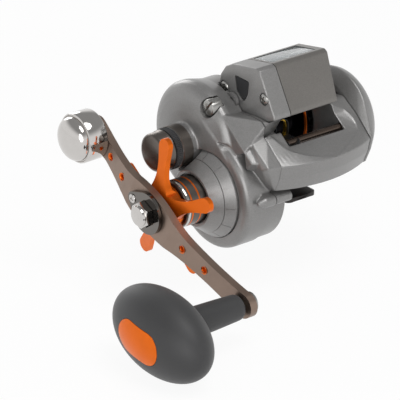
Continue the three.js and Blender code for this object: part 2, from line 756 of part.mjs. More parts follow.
// Frame
{
  const wall = join(
    prism(beltOutline(handleBelt), wallOuter, wallInner),
    prism(outline(noseOutline), wallOuter, wallInner),
    horn.intersect(frameSide),
  );
  const pocket = join(
    prism(beltOutline(inner(handleBelt, rimWall)), wallOuter - overrun, webOuter),
    gearSpace(idlerAxis, idlerTeeth),
    gearSpace(wormAxis, wormGearTeeth).add(
      rod(wallOuter - overrun, webOuter, gearTip(wormGearTeeth) + seam, wormAxis)),
  );
  const hoodSpace = loft(hoodSections(palmWallInner - overrun, (line) =>
    [...line(hoodThickness + seam), [beyond, 0], [beyond, beyond], [noseDepth, beyond]]));
  const palmWall = cut(
    prism(beltOutline(palmBelt), palmWallInner, palmWallOuter),
    hoodSpace,
    rod(palmWallInner - overrun, palmWallOuter + overrun, palmBoreRadius, spoolAxis, fineSides),
  );
  const floor = cut(
    block([wallInner - seam, floorRear, floorUnderside], [palmWallInner + seam, floorFront, floorTop]),
    rod(wallInner - overrun, palmWallInner + overrun, spoolRadius + spoolTrough, spoolAxis, fineSides),
    ...rivetPlaces.map((f) =>
      slab(circlePoints([0, f], rivetRadius + seam), floorUnderside - overrun, rivetTop + seam)),
  );
  const additions = [
    rod(mainBearingOuter - seam, wallInner, mainBearingBoss, driveAxis),
    rod(stubOuter, wallInner, stubRadius, idlerAxis, coarseSides),
    rod(webOuter, wallInner + seam, wormBoss, wormAxis, coarseSides),
    rod(wallOuter, counterLeft - seam, notchBossRadius, [notchScrewF, notchScrewZ], coarseSides),
    rod(ratchetOuter, webOuter + seam, dogPinRadius, [dogPivotF, dogPivotZ], coarseSides),
    prism(beltOutline([[[bossF, bossZ], bossRadius], [driveAxis, bossRootRadius]], coarseSides), wallOuter, wallInner)
      .subtract(pocket),
  ];
  const cuts = [
    rod(mainBearingOuter - overrun, mainBearingInner, clearOf(mainBearingRadius, sides), driveAxis),
    rod(wallOuter - overrun, wallInner + overrun, spoolShaftRadius + seam, spoolAxis, coarseSides),
    gearSpace(counterIdlerAxis, counterIdlerTeeth),
    rod(webOuter - overrun, wallInner + overrun, clearOf(wormJournal), wormAxis, coarseSides),
    rod(palmWallInner - overrun, wormRightEnd + seam, clearOf(wormJournal), wormAxis, coarseSides),
    rod(railLeft - seam, railRight + seam, railRadius + seam, [railF, railZ], coarseSides),
    rod(wallOuter - overrun, wallInner, notchShankRadius + seam, [notchScrewF, notchScrewZ], coarseSides),
    prism(thumbSlot, webOuter - overrun, palmWallInner + thumbPinReach + seam),
    counterSpace,
    ...headSeats,
  ];
  add('frame', cut(join(cut(wall, pocket), palmWall, floor, ...additions), ...cuts), greyPaint);
}

// Foot with the two rivets that hold it
{
  const tipF = footFront - footTipRadius;
  const tipRear = footRear + footTipRadius;
  const side = footHalfWidth - footTipRadius;
  const corners = [[side, tipF - footBow], [0, tipF], [-side, tipF - footBow], [-side, tipRear], [side, tipRear]];
  const plan = convexOutline(corners.flatMap((corner) => circlePoints(corner, footTipRadius)));
  const rivets = rivetPlaces.map((f) => slab(circlePoints([0, f], rivetRadius), footThickness - seam, rivetTop));
  add('reel_foot', join(slab(plan, 0, footThickness), ...rivets), blackSteel);
}

// Front hood
{
  const ringOf = (line, back) => [...line, ...[...back].reverse()];
  const sheet = loft(hoodSections(hoodLeft, (line) => ringOf(line(0), line(hoodThickness))));
  const mouth = block([mouthLeft, -beyond, mouthFloor], [mouthRight, mouthSill, beyond]);
  const hornRoom = block([hoodLeft - overrun, 0, mouthFloor], [mouthLeft + seam, hoodShoulder, beyond]);
  const railEnds = rod(railLeft - seam, railRight + seam, railRadius + seam, [railF, railZ]);
  add('front_hood', cut(sheet, mouth, hornRoom, railEnds, counterSpace), greyPaint);
}

// Handle side cover
{
  const bridge = hull([
    ...hoop(bridgeOuter, spoolAxis, bridgeSpoolRadius), ...hoop(bridgeOuter, driveAxis, bridgeDriveRadius),
    ...hoop(coverInner, spoolAxis, bridgeInnerSpoolRadius), ...hoop(coverInner, driveAxis, bridgeDriveRadius),
    [bridgeOuter, ridgeF, ridgeZ],
  ]);
  const cheek = loft([[cheekOuter, cheekLine], [coverInner, cheekInnerLine]]);
  const tip = bossOuterEnd + bossTipLength;
  const bezelRoom = rod(-beyond, drumProfile.at(-1)[0], bezelRadius + bezelSeatGap, driveAxis, fineSides);
  const body = join(
    cut(turned(domeProfile.toReversed(), spoolAxis, fineSides), bezelRoom),
    turned(drumProfile.toReversed(), driveAxis, fineSides),
    bridge,
    cheek,
    rod(capBossFace, bridgeOuter, capBossRadius, spoolAxis),
    rod(capNeckEnd, bridgeOuter, capNeckRadius, spoolAxis),
    turned([[bossOuterEnd, bossTipRadius], [tip, bossRadius], [coverInner, bossRadius]], [bossF, bossZ], coarseSides),
    prism(beltOutline([[[bossF, bossZ], bossRadius], [driveAxis, bossRootRadius]], coarseSides), tip, coverInner),
    horn.intersect(block([-beyond, -beyond, -beyond], [coverInner, beyond, beyond])),
  );
  const yokePosts = [yokeDegrees, yokeDegrees + halfTurn].map((turn) => stepFrom(spoolAxis, yokeSpread, turn));
  const fill = yokePosts.flatMap((axis) => [
    rod(yokeSpringSeat, yokePostEnd, yokePostRadius, axis, coarseSides),
    rod(coverCavityOuter - seam, yokeSpringSeat, yokeSeatRadius, axis, coarseSides),
  ]);
  const bearingWellEnd = handleBearingOuter - seam;
  const cuts = [
    rod(coverCavityOuter, coverInner + overrun, coverCavitySpool, spoolAxis),
    rod(coverCavityOuter, coverInner + overrun, coverCavityDrive, driveAxis),
    rod(coverPinionWellEnd, coverCavityOuter + overrun, coverPinionWell, spoolAxis),
    rod(bearingWellEnd, coverCavityOuter, clearOf(spoolBearingRadius, sides), spoolAxis),
    rod(capNeckEnd - overrun, coverCavityOuter, spoolShaftRadius + seam, spoolAxis),
    rod(drumProfile.at(-1)[0] - overrun, drumProfile.at(-1)[0] + bezelSeatDepth, bezelRadius + bezelSeatGap, driveAxis, fineSides),
    rod(drumProfile.at(-1)[0] - overrun, coverCavityOuter + overrun, sleeveRadius + seam, driveAxis),
    rod(notchHeadOuter - beyond, notchHeadOuter + notchHeadThickness + seam,
      notchHeadRadius + notchClear, [notchScrewF, notchScrewZ], coarseSides),
    rod(notchHeadOuter, coverInner + overrun, notchShankRadius + seam, [notchScrewF, notchScrewZ], coarseSides),
  ];
  add('handle_side_cover', join(cut(body, ...cuts), ...fill), greyPaint);
}

// Notch screw
{
  const axis = [notchScrewF, notchScrewZ];
  const head = rod(notchHeadOuter, notchHeadOuter + notchHeadThickness, notchHeadRadius, axis, coarseSides);
  const shank = rod(notchHeadOuter + overrun, notchShankEnd, notchShankRadius, axis, coarseSides);
  const [f, z] = axis;
  const slot = block(
    [notchHeadOuter - overrun, f - screwSlotWidth / 2, z - notchHeadRadius - overrun],
    [notchHeadOuter + screwSlotDepth, f + screwSlotWidth / 2, z + notchHeadRadius + overrun]);
  add('side_cover_screw', cut(join(head, shank), slot), steel);
}

// Palm side plate with the spool's far bearing boss
{
  const belt = [[spoolAxis, palmRearRadius], [[palmFrontF, palmFrontZ], palmFrontRadius]];
  const shells = palmCrown.flatMap(([x, depth]) =>
    beltOutline(inner(belt, depth)).map((point) => [x, point.x, point.y]));
  const rimAt = (x, inset) => [
    ...hoop(x, spoolAxis, palmRearRadius - inset), ...offsetLine(hoodLine, inset).map((point) => [x, ...point])];
  const rim = [...rimAt(palmPlateInner, 0), ...rimAt(palmPlateInner + palmRim, 0)];
  const cavity = hull([
    ...rimAt(palmPlateInner - overrun, palmPlateWall), ...rimAt(palmPlateInner + palmPlateWall, palmPlateWall),
    ...beltOutline(inner(belt, palmPlateWall + palmCavityInset)).map((p) => [palmCavityEnd, p.x, p.y]),
  ]);
  const body = cut(hull([...shells, ...rim]), cavity);
  const boss = cut(
    rod(palmBossInner, palmCavityEnd + seam, palmBearingBoss, spoolAxis),
    rod(palmBossInner - overrun, palmBearingInner + spoolBearingWidth + seam, clearOf(spoolBearingRadius, sides), spoolAxis),
    rod(palmBossInner - overrun, spoolShaftRight + seam, spoolShaftRadius + seam, spoolAxis),
  );
  const drum = ring(brakeDrumLeft, palmCavityEnd + seam, brakeDrumRadius, brakeDrumRadius + brakeDrumWall, spoolAxis);
  add('palm_side_plate', join(body, boss, drum), greyPaint);
}

// Brake hub with its arms on the spool shaft; they run inside the palm plate's drum
{
  const arms = Array.from({ length: brakeArms }, (_, i) => {
    const turn = new THREE.Matrix4().makeRotationX((2 * Math.PI * i) / brakeArms);
    const middle = (brakeHubLeft + brakeHubRight) / 2;
    const bar = outline([[brakeArmRoot, -brakeArmRadius], [brakeArmReach, -brakeArmRadius],
      [brakeArmReach, brakeArmRadius], [brakeArmRoot, brakeArmRadius]]);
    return prism(bar, middle - brakeArmRadius, middle + brakeArmRadius, turn);
  });
  const hub = rod(brakeHubLeft, brakeHubRight, brakeHubRadius, [0, 0]);
  const bore = rod(brakeHubLeft - overrun, brakeHubRight + overrun, clearOf(spoolShaftRadius), [0, 0], coarseSides);
  add('brake_hub', cut(join(hub, ...arms), bore), blackPlastic, spoolLine);
}

// Spool, shaft and bearings
{
  const [half, thick] = [spoolHalfWidth, flangeThickness];
  const shell = turned([
    [-half, spoolRadius], [-half + thick, spoolRadius], [-half + thick * 2, spoolArborRadius],
    [half - thick * 2, spoolArborRadius], [half - thick, spoolRadius], [half, spoolRadius]], [0, 0], fineSides);
  const hollow = (x0, x1) => ring(x0, x1, spoolShaftRadius + spoolHubWall, spoolArborRadius - spoolWall, [0, 0]);
  const bore = rod(-half - overrun, half + overrun, clearOf(spoolShaftRadius), [0, 0], coarseSides);
  add('spool', cut(shell, hollow(-half - overrun, -overrun), hollow(overrun, half + overrun), bore), blackSteel, spoolLine);
  const shaftGear = prism(gearOutline(spoolGearTeeth, levelModule, spoolGearStart), smallGearOuter, smallGearInner);
  const shaft = rod(spoolShaftLeft, spoolShaftRight, spoolShaftRadius, [0, 0], coarseSides);
  add('spool_shaft', join(shaft, shaftGear), steel, spoolLine);
  const bearing = (x) => ring(x, x + spoolBearingWidth, clearOf(spoolShaftRadius), spoolBearingRadius, [0, 0]);
  add('spool_bearing_handle', bearing(handleBearingOuter), steel, spoolLine);
  add('spool_bearing_palm', bearing(palmBearingInner), steel, spoolLine);
}

// Drive gear, pinion and the small gears that turn the worm and the counter
{
  const driveStart = 0;
  const teeth = prism(gearOutline(driveTeeth, gearModule, driveStart), driveGearOuter, driveGearInner);
  const bore = rod(driveGearOuter - overrun, driveGearInner + overrun, clearOf(mainShaftRadius), [0, 0]);
  const recess = rod(driveGearOuter - overrun, driveGearOuter + dragRecessDepth, dragRecessRadius, [0, 0], fineSides);
  add('drive_gear', cut(teeth, bore, recess), brass, driveLine);

  const pinionStart = meshedStart(driveTeeth, driveStart, pinionTeeth, spoolDegrees);
  const pinion = join(
    prism(gearOutline(pinionTeeth, gearModule, pinionStart), pinionOuter, pinionTeethInner),
    rod(pinionTeethInner - overrun, pinionGrooveInner, pinionGrooveRadius, [0, 0]),
    rod(pinionGrooveInner, pinionInner, pinionFlangeRadius, [0, 0]));
  const pinionBore = rod(pinionOuter - overrun, pinionInner + overrun, clearOf(spoolShaftRadius), [0, 0], coarseSides);
  add('pinion_gear', cut(pinion, pinionBore), brass, spoolLine);

  const idler = (name, count, start, axis) => {
    const body = prism(gearOutline(count, levelModule, start), smallGearOuter, smallGearInner);
    const hole = rod(smallGearOuter - overrun, smallGearInner + overrun, smallGearBore, [0, 0], coarseSides);
    add(name, cut(body, hole), whitePlastic, group(reel, axis));
  };
  idler('levelwind_idler', idlerTeeth, idlerStart, idlerAxis);
  idler('counter_idler', counterIdlerTeeth, counterIdlerStart, counterIdlerAxis);
}

// Clutch yoke and springs
{
  const ends = [-yokeSpread, 0, yokeSpread];
  const turn = new THREE.Matrix4().makeRotationX(-yokeDegrees * degrees);
  const radii = [yokeEndRadius, yokeMiddleRadius, yokeEndRadius];
  const holes = ends.map((place, i) => {
    const radius = (i === 1 ? pinionGrooveRadius : yokePostRadius) + seam;
    return prism(circlePoints([place, 0], radius), yokeOuter - overrun, yokeInner + overrun, turn);
  });
  add('clutch_yoke', cut(chain(ends, radii, yokeOuter, yokeInner, turn), ...holes), blackPlastic, spoolLine);
  ['yoke_spring_upper', 'yoke_spring_lower'].forEach((name, i) => {
    const axis = stepFrom([0, 0], yokeSpread, yokeDegrees + halfTurn * i);
    const spring = coil(yokeSpringSeat, yokeOuter, yokeSpringRadius, yokeSpringWire, yokeSpringTurns);
    add(name, spring, steel, group(spoolLine, axis));
  });
}

// Main shaft, its bearing, the ratchet and the anti-reverse dog
{
  const shaft = join(
    rod(mainShaftOuterEnd, journalShoulder, mainShaftRadius, [0, 0], coarseSides),
    rod(shaftCollarOuter, journalShoulder, shaftCollarRadius, [0, 0], coarseSides),
    rod(journalShoulder - overrun, mainShaftInnerEnd, journalRadius, [0, 0], coarseSides));
  add('main_shaft', shaft, steel, driveLine);
  const bearing = ring(mainBearingOuter, mainBearingInner - seam, clearOf(journalRadius), mainBearingRadius, [0, 0]);
  add('main_shaft_bearing', bearing, steel, driveLine);
  const wheel = [];
  for (let i = 0; i < ratchetTeeth; i++) {
    const turn = (2 * Math.PI * i) / ratchetTeeth;
    wheel.push([ratchetRadius * Math.cos(turn), ratchetRadius * Math.sin(turn)]);
    const low = ratchetRadius - ratchetToothDepth;
    wheel.push([low * Math.cos(turn + degrees * ratchetUndercutDegrees), low * Math.sin(turn + degrees * ratchetUndercutDegrees)]);
  }
  const bore = rod(ratchetOuter - overrun, ratchetInner + overrun, clearOf(mainShaftRadius), [0, 0], coarseSides);
  add('ratchet', cut(prism(outline(wheel), ratchetOuter, ratchetInner), bore), steel, driveLine);
  const dogLine = group(reel, [dogPivotF, dogPivotZ]);
  const reach = [[[0, 0], dogPivotRadius], [[dogTipF - dogPivotF, dogTipZ - dogPivotZ], dogTipRadius]];
  const hole = rod(ratchetOuter - overrun, ratchetInner + overrun, clearOf(dogPinRadius), [0, 0], coarseSides);
  add('anti_reverse_dog', cut(prism(beltOutline(reach, coarseSides), ratchetOuter, ratchetInner), hole), steel, dogLine);
}

// Drag stack, bezel, roller clutch, collar and star
{
  const bored = (x0, x1, radius) => ring(x0, x1, clearOf(mainShaftRadius), radius, [0, 0]);
  const carbonInner = driveGearOuter + dragRecessDepth - washerGap;
  const carbonOuter = carbonInner - washerThickness;
  const metalOuter = carbonOuter - washerGap - washerThickness;
  add('drag_washer_carbon', bored(carbonOuter, carbonInner, washerRadius), carbon, driveLine);
  add('drag_washer_metal', bored(metalOuter, metalOuter + washerThickness, washerRadius), steel, driveLine);
  add('drag_sleeve', bored(sleeveOuter, metalOuter - seam, sleeveRadius), steel, driveLine);
  const dish = turned([
    [springWasherOuter, springWasherRadius], [springWasherOuter + springWasherDish, springWasherRadius],
    [sleeveOuter - seam, sleeveRadius]], [0, 0], coarseSides);
  const dishHollow = turned([
    [springWasherOuter - overrun, springWasherRadius - springWasherDish],
    [springWasherOuter + springWasherDish, springWasherRadius - springWasherDish],
    [sleeveOuter - springWasherDish, mainShaftRadius + springWasherDish]], [0, 0], coarseSides);
  const hole = rod(springWasherOuter - overrun, sleeveOuter + overrun, clearOf(mainShaftRadius), [0, 0], coarseSides);
  add('drag_spring_washer', cut(dish, dishHollow, hole), steel, driveLine);

  const bezel = cut(
    turned(bezelProfile, [0, 0], fineSides),
    rod(bezelProfile[0][0] - overrun, bezelProfile[0][0] + bezelMouthDepth, bezelMouthRadius, [0, 0]),
    rod(bezelProfile[0][0], bezelProfile.at(-1)[0] + overrun, clutchRadius + seam, [0, 0]),
    rod(gripOuter - overrun, coverInner, capBossRadius + seam, stepFrom([0, 0], gearCentres, spoolDegrees)));
  add('drag_bezel', bezel, greyPaint, driveLine);
  add('roller_clutch', ring(clutchOuter, clutchInner, clearOf(sleeveRadius), clutchRadius, [0, 0]), steel, driveLine);
  const grooves = collarGroovePlaces.map((x) =>
    ring(x - collarGrooveWidth / 2, x + collarGrooveWidth / 2, collarRadius - collarGrooveDepth,
      collarRadius + overrun, [0, 0]));
  const collar = ring(collarOuter, collarInner, collarRadius - collarWall, collarRadius, [0, 0]);
  const lipBore = springWasherRadius + seam;
  const lip = ring(collarOuter, collarOuter + collarWall, lipBore, collarRadius - collarWall / 2, [0, 0]);
  add('drag_collar', cut(join(collar, lip), ...grooves), darkGrey, driveLine);

  const arms = Array.from({ length: starArms }, (_, i) => {
    // Each arm leans towards the reel body as it runs outwards
    const lean = new THREE.Matrix4().set(
      1, -starArmSweep / starArmPlaces.at(-1), 0, 0, 0, 1, 0, 0, 0, 0, 1, 0, 0, 0, 0, 1);
    const turn = new THREE.Matrix4().makeRotationX(-(starArmDegrees + ((2 * halfTurn) / starArms) * i) * degrees);
    return chain(starArmPlaces, starArmRadii, starArmOuter, starArmInner, turn.multiply(lean));
  });
  const hub = rod(starHubOuter, starHubInner, starHubRadius, [0, 0]);
  const bore = rod(starHubOuter - overrun, starHubInner + overrun, clearOf(mainShaftRadius), [0, 0], coarseSides);
  add('star_drag', cut(join(hub, ...arms), bore), orangeAnodised, driveLine);
}

// Crank arm, nut, retainer and counterweight
{
  const plan = chain(crankPlaces, crankHalfWidths, crankBlankOuter, crankBlankInner);
  const bent = [...crankFront, ...[...crankFront].reverse().map(([place, x]) => [place, x + crankThickness])];
  const reach = crankHalfWidths[3] + overrun;
  const sheet = slab(outline(bent.map(([place, x]) => [x, place])), -reach, reach);
  const holes = [
    ...crankHolePlaces.map((place) => [place, crankHoleRadius]),
    [0, clearOf(mainShaftRadius)], [retainerLugPlace, retainerScrewShank + seam],
    [weightPlace, weightStudRadius + seam], [knobPlace, spindleRadius + seam],
  ].map(([place, radius]) => rod(crankBlankOuter, crankBlankInner, radius, [place, 0], coarseSides));
  add('crank_arm', cut(plan.intersect(sheet), ...holes), bronzeAnodised, crank);

  const hexagon = circlePoints([0, 0], nutHexRadius, nutSides);
  const thread = rod(mainShaftOuterEnd - seam, retainerInner + overrun, clearOf(mainShaftRadius), [0, 0], coarseSides);
  const nut = cut(
    join(prism(hexagon, nutHexOuter, retainerInner), rod(nutTipOuter, nutHexOuter + seam, nutTipRadius, [0, 0])), thread);
  add('handle_nut', nut, chrome, crank);
  const plate = prism(beltOutline([[[0, 0], retainerRadius], [[retainerLugPlace, 0], retainerLugRadius]], sides),
    retainerOuter, retainerInner);
  const nutHole = prism(circlePoints([0, 0], nutHexRadius + seam, nutSides), retainerOuter - overrun, retainerInner + overrun);
  const screwHole = rod(retainerOuter - overrun, retainerInner + overrun, retainerScrewShank + seam,
    [retainerLugPlace, 0], coarseSides);
  add('nut_retainer', cut(plate, nutHole, screwHole), chrome, crank);
  const headInner = retainerOuter - seam / 3;
  const screw = join(
    rod(headInner - retainerScrewHead, headInner, retainerScrewRadius, [retainerLugPlace, 0], coarseSides),
    rod(headInner - retainerScrewHead / 2, crankFront[3][1] + crankThickness, retainerScrewShank,
      [retainerLugPlace, 0], coarseSides));
  add('retainer_screw', screw, chrome, crank);
  const stud = rod(weightInner - overrun, weightStudEnd, weightStudRadius, [0, 0], coarseSides);
  add('counterweight', join(turned(weightProfile, [0, 0], fineSides), stud), chrome, weightLine);
}

// Knob with its spindle, bushings and inlay
{
  const egg = new THREE.SphereGeometry(1, sides, sides / 2);
  egg.rotateY(Math.PI / 2);
  egg.scale(knobHalfDeep, knobHalfLong, knobHalfWide);
  egg.rotateX(-knobDegrees * degrees);
  egg.translate(knobMiddle, 0, 0);
  const stem = turned([...knobStemProfile, [knobStemInner, knobStemProfile.at(-1)[1]]], [0, 0]);
  const bore = rod(inlayInner - overrun * 2, knobStemInner + overrun, knobBoreRadius, [0, 0], coarseSides);
  const half = (inlayLength - inlayWidth) / 2;
  const turn = new THREE.Matrix4().makeRotationX(-knobDegrees * degrees);
  const pill = (radius, x0, x1) =>
    prism(beltOutline([[[-half, 0], radius], [[half, 0], radius]], coarseSides), x0, x1, turn);
  const pocket = pill(inlayWidth / 2 + seam / 2, inlayOuter - beyond, inlayInner + seam / 2);
  add('knob', cut(join(solid(egg), stem), bore, pocket), blackRubber, knobLine);
  add('knob_inlay', pill(inlayWidth / 2, inlayOuter, inlayInner), orangeAnodised, knobLine);
  const spindle = join(
    rod(spindleEnd, spindleHeadInner, spindleRadius, [0, 0], coarseSides),
    rod(spindleEnd - retainingHead, spindleEnd, retainingRadius, [0, 0], coarseSides),
    rod(spindleHeadOuter, spindleHeadInner, spindleHeadRadius, [0, 0], coarseSides));
  add('knob_spindle', spindle, steel, knobLine);
  const bushing = (x) =>
    ring(x, x + bushingLength, clearOf(spindleRadius), knobBoreRadius - runningFit, [0, 0], coarseSides);
  add('knob_bushing_inner', bushing(bushingInner - bushingLength), brass, knobLine);
  add('knob_bushing_outer', bushing(spindleEnd + seam), brass, knobLine);
}

// Cast control cap and its grip ring
{
  const cap = cut(
    turned(castProfile, [0, 0], sides),
    rod(castBoreEnd, castProfile.at(-1)[0] + overrun, castBoreRadius, [0, 0]));
  add('cast_control_cap', cap, darkGrey, spoolLine);
  const knurl = Array.from({ length: gripTeeth * 2 }, (_, i) => {
    const radius = gripRadius - (i % 2) * gripToothDepth;
    const turn = (Math.PI * i) / gripTeeth;
    return [radius * Math.cos(turn), radius * Math.sin(turn)];
  });
  const hole = rod(gripOuter - overrun, gripInner + overrun, gripBore, [0, 0]);
  add('cap_grip_ring', cut(prism(outline(knurl), gripOuter, gripInner), hole), blackRubber, spoolLine);
}

// Worm shaft, its tube, the rail and the line guide
{
  const wormLine = group(reel, wormAxis);
  const [left, right] = [mouthLeft + overrun, mouthRight - overrun];
  const helix = (sign) => {
    const steps = wormTurns * wormStepsPerTurn;
    const points = Array.from({ length: steps + 1 }, (_, i) => {
      const turn = (sign * 2 * Math.PI * i) / wormStepsPerTurn;
      return new THREE.Vector3(left + ((right - left) * i) / steps,
        wormRadius * Math.cos(turn), wormRadius * Math.sin(turn));
    });
    const section = new THREE.Shape(circlePoints([0, 0], wormGrooveDepth, grooveSides));
    const path = new THREE.CatmullRomCurve3(points);
    return solid(new THREE.ExtrudeGeometry(section, { steps, extrudePath: path, bevelEnabled: false }));
  };
  const shaft = join(
    rod(wallInner + seam, palmWallInner - seam, wormRadius, [0, 0]),
    rod(smallGearOuter - seam, wormRightEnd, wormJournal, [0, 0], coarseSides),
    prism(gearOutline(wormGearTeeth, levelModule, wormStart), smallGearOuter, smallGearInner));
  add('worm_shaft', cut(shaft, helix(1), helix(-1)), steel, wormLine);
  const slot = block([left, -wormTubeSlot, -wormTubeOuter - overrun], [right, wormTubeSlot, 0]);
  const tube = ring(wallInner + seam * 2, palmWallInner - seam, wormTubeInner, wormTubeOuter, [0, 0], coarseSides);
  add('worm_tube', cut(tube, slot), blackPlastic, wormLine);
  add('guide_rail', rod(railLeft, railRight, railRadius, [railF, railZ], coarseSides), steel);

  const [half, worm] = [guideHalfWidth, wormAxis];
  const body = join(
    prism(beltOutline([[worm, guideBodyRadius], [[railF, railZ], guideRailRadius]], coarseSides), -half, half),
    prism(beltOutline([[worm, guideStemRadius], [[ringF, ringZ], guideStemRadius]], coarseSides), -half, half));
  const eye = (grow, depth) => {
    const rise = ringHalfHeight - ringHalfWidth;
    const tall = (z) => circlePoints([0, z], ringHalfWidth + grow, coarseSides);
    const points = convexOutline([...tall(rise), ...tall(-rise)]);
    return solid(new THREE.ExtrudeGeometry(new THREE.Shape(points), { depth: 2 * depth, bevelEnabled: false })
      .applyMatrix4(new THREE.Matrix4().set(1, 0, 0, 0, 0, 0, -1, depth - ringF, 0, 1, 0, ringZ, 0, 0, 0, 1)));
  };
  const collar = eye(ringWire + ringCollar, guideStemRadius);
  const cuts = [
    rod(-half - overrun, half + overrun, wormTubeOuter + seam, worm, coarseSides),
    rod(-half - overrun, half + overrun, clearOf(railRadius), [railF, railZ], coarseSides),
    eye(clearOf(ringWire), beyond),
    slab(circlePoints([0, worm[0]], clearOf(pawlRadius)), -beyond, worm[1]),
  ];
  add('line_guide', cut(join(body, collar), ...cuts), blackPlastic, guideLine);
  add('guide_ring', cut(eye(ringWire, ringHalfDepth), eye(0, beyond)), goldRing, guideLine);
  const pawlTop = worm[1] - wormRadius - seam;
  const pin = slab(circlePoints([0, worm[0]], pawlRadius), pawlTop - pawlLength, pawlTop);
  const foot = slab(circlePoints([0, worm[0]], pawlCapRadius), pawlTop - pawlLength - pawlCapLength, pawlTop - pawlLength);
  add('pawl', join(pin, foot), steel, guideLine);
}

// Thumb bar
{
  const blade = beltOutline(
    [[thumbUpper, thumbUpperRadius], [thumbLower, thumbLowerRadius]], coarseSides);
  const bar = prism(blade, wallInner + seam * 2, palmWallInner - seam * 2);
  const pins = rod(wallInner - thumbPinReach, palmWallInner + thumbPinReach, thumbPinRadius,
    thumbLower, coarseSides);
  add('thumb_bar', join(bar, pins), blackPlastic);
}

// Line counter: housing, end cap, window, number wheels, screws and reset button
{
  const walls = outline(inset(counterOutline, counterWall));
  const right = counterTopRight + overrun;
  const spoolRoom = (x0, grow) => rod(x0, right, spoolRadius + spoolTrough + grow, spoolAxis, fineSides);
  // The far end slopes: it overhangs at the top and draws back at the front
  const low = Math.min(...counterOutline.map(([, z]) => z));
  const high = Math.max(...counterOutline.map(([, z]) => z));
  const slopeOutline = (shift) => outline([
    [counterSeam - overrun * 2, -high - overrun], [counterTopRight - shift, -high - overrun],
    [counterTopRight - shift, -high], [counterLowRight - shift, -low],
    [counterLowRight - shift, -low + overrun], [counterSeam - overrun * 2, -low + overrun]]);
  const slope = (shift) => {
    const depth = beyond * 2;
    return solid(new THREE.ExtrudeGeometry(new THREE.Shape(slopeOutline(shift)), { depth, bevelEnabled: false })
      .applyMatrix4(new THREE.Matrix4().set(1, 0, 0, 0, 0, 0, -1, beyond, 0, -1, 0, 0, 0, 0, 0, 1)));
  };
  const room = cut(prism(walls, counterSeam + counterWall, right), spoolRoom(counterSeam, counterWall))
    .intersect(slope(counterWall));
  const outer = cut(prism(counterPoints, counterSeam + seam, right), spoolRoom(counterSeam - overrun, 0))
    .intersect(slope(0));
  const [idlerF, idlerZ] = counterIdlerAxis;
  const posts = [counterScrewRear, counterScrewFront].map((axis) =>
    rod(counterSeam + seam, counterScrewEnd + overrun, counterScrewPost, axis, coarseSides));
  const screwHoles = [counterScrewRear, counterScrewFront].map((axis) =>
    rod(counterLeft - overrun, counterScrewEnd + seam, counterScrewShank + seam, axis, coarseSides));
  const glass = block([windowLeft, windowRearF, wheelAxis[1]], [windowRight, windowFrontF, beyond]);
  const housing = cut(
    join(cut(outer, room), rod(stubOuter, counterSeam + counterWall, stubRadius, counterIdlerAxis, coarseSides),
      ...posts.map((post) => post.intersect(outer))),
    ...screwHoles, glass,
    rod(counterSeam - overrun, wheelAxleRight + seam, clearOf(wheelAxleRadius), wheelAxis, coarseSides));
  add('counter_housing', housing, greyPaint);

  const capRoom = prism(walls, counterLeft + capEndWall, counterSeam + overrun);
  const gearSlot = block([stubOuter - seam * 2, idlerF - gearTip(counterIdlerTeeth) - seam, low - overrun],
    [counterSeam + overrun, idlerF + gearTip(counterIdlerTeeth) + seam, idlerZ + gearTip(counterIdlerTeeth)]);
  const buttonHole = prism(outline(inset(buttonOutline.toReversed(), -seam)), counterLeft - overrun, counterSeam);
  const capPosts = [counterScrewRear, counterScrewFront].map((axis) =>
    rod(counterLeft + capEndWall / 2, counterSeam - seam, counterScrewPost, axis, coarseSides)
      .intersect(prism(counterPoints, counterLeft, counterSeam)));
  const cap = cut(
    join(cut(prism(counterPoints, counterLeft, counterSeam), capRoom), ...capPosts),
    gearSlot, buttonHole, ...headSeats, ...screwHoles,
    rod(buttonFlangeOuter - seam, counterSeam + overrun, gearTip(counterGearTeeth) + seam, wheelAxis));
  add('counter_end_cap', cap, greyPaint);
  ['counter_screw_rear', 'counter_screw_front'].forEach((name, i) => {
    const axis = [counterScrewRear, counterScrewFront][i];
    const head = rod(counterScrewHeadOuter, counterScrewHeadInner, counterScrewHeadRadius, axis, coarseSides);
    const shank = rod(counterScrewHeadInner - seam, counterScrewEnd, counterScrewShank, axis, coarseSides);
    add(name, join(head, shank), steel);
  });

  // The pane follows the slope of the top face between the two nearest outline points
  const [topFront, topRear] = [counterOutline[7], counterOutline[8]];
  const rise = (topFront[1] - topRear[1]) / (topFront[0] - topRear[0]);
  const topAt = (f) => topRear[1] + (f - topRear[0]) * rise - windowSunk;
  const [rear, front] = [windowRearF + seam, windowFrontF - seam];
  const pane = outline([[rear, topAt(rear)], [front, topAt(front)],
    [front, topAt(front) - windowThickness], [rear, topAt(rear) - windowThickness]]);
  add('counter_window', prism(pane, windowLeft + seam, windowRight - seam), clearPlastic);

  const wheelLine = group(reel, wheelAxis);
  const axle = rod(wheelAxleLeft, wheelAxleRight, wheelAxleRadius, [0, 0], coarseSides);
  const axleGear = prism(gearOutline(counterGearTeeth, levelModule, counterStart), smallGearOuter, smallGearInner);
  add('counter_shaft', join(axle, axleGear), steel, wheelLine);
  ['hundreds_wheel', 'tens_wheel', 'units_wheel'].forEach((name, i) => {
    const x = wheelStarts[i];
    const bore = rod(x - overrun, x + wheelWidth + overrun, clearOf(wheelAxleRadius), [0, 0], coarseSides);
    add(name, cut(rod(x, x + wheelWidth, wheelRadius, [0, 0], wheelFacets), bore), blackPlastic, wheelLine);
  });

  const button = join(
    prism(outline(buttonOutline), buttonOuter, buttonInner),
    prism(outline(inset(buttonOutline.toReversed(), -buttonFlange)), buttonFlangeOuter, buttonInner));
  const recess = rod(buttonRecessFloor, buttonInner + overrun, buttonRecess, wheelAxis, coarseSides);
  add('reset_button', cut(button, recess), blackPlastic);
  add('reset_spring', coil(buttonRecessFloor, smallGearOuter, resetSpringRadius, resetSpringWire, resetSpringTurns),
    steel, wheelLine);
}

export default reel;
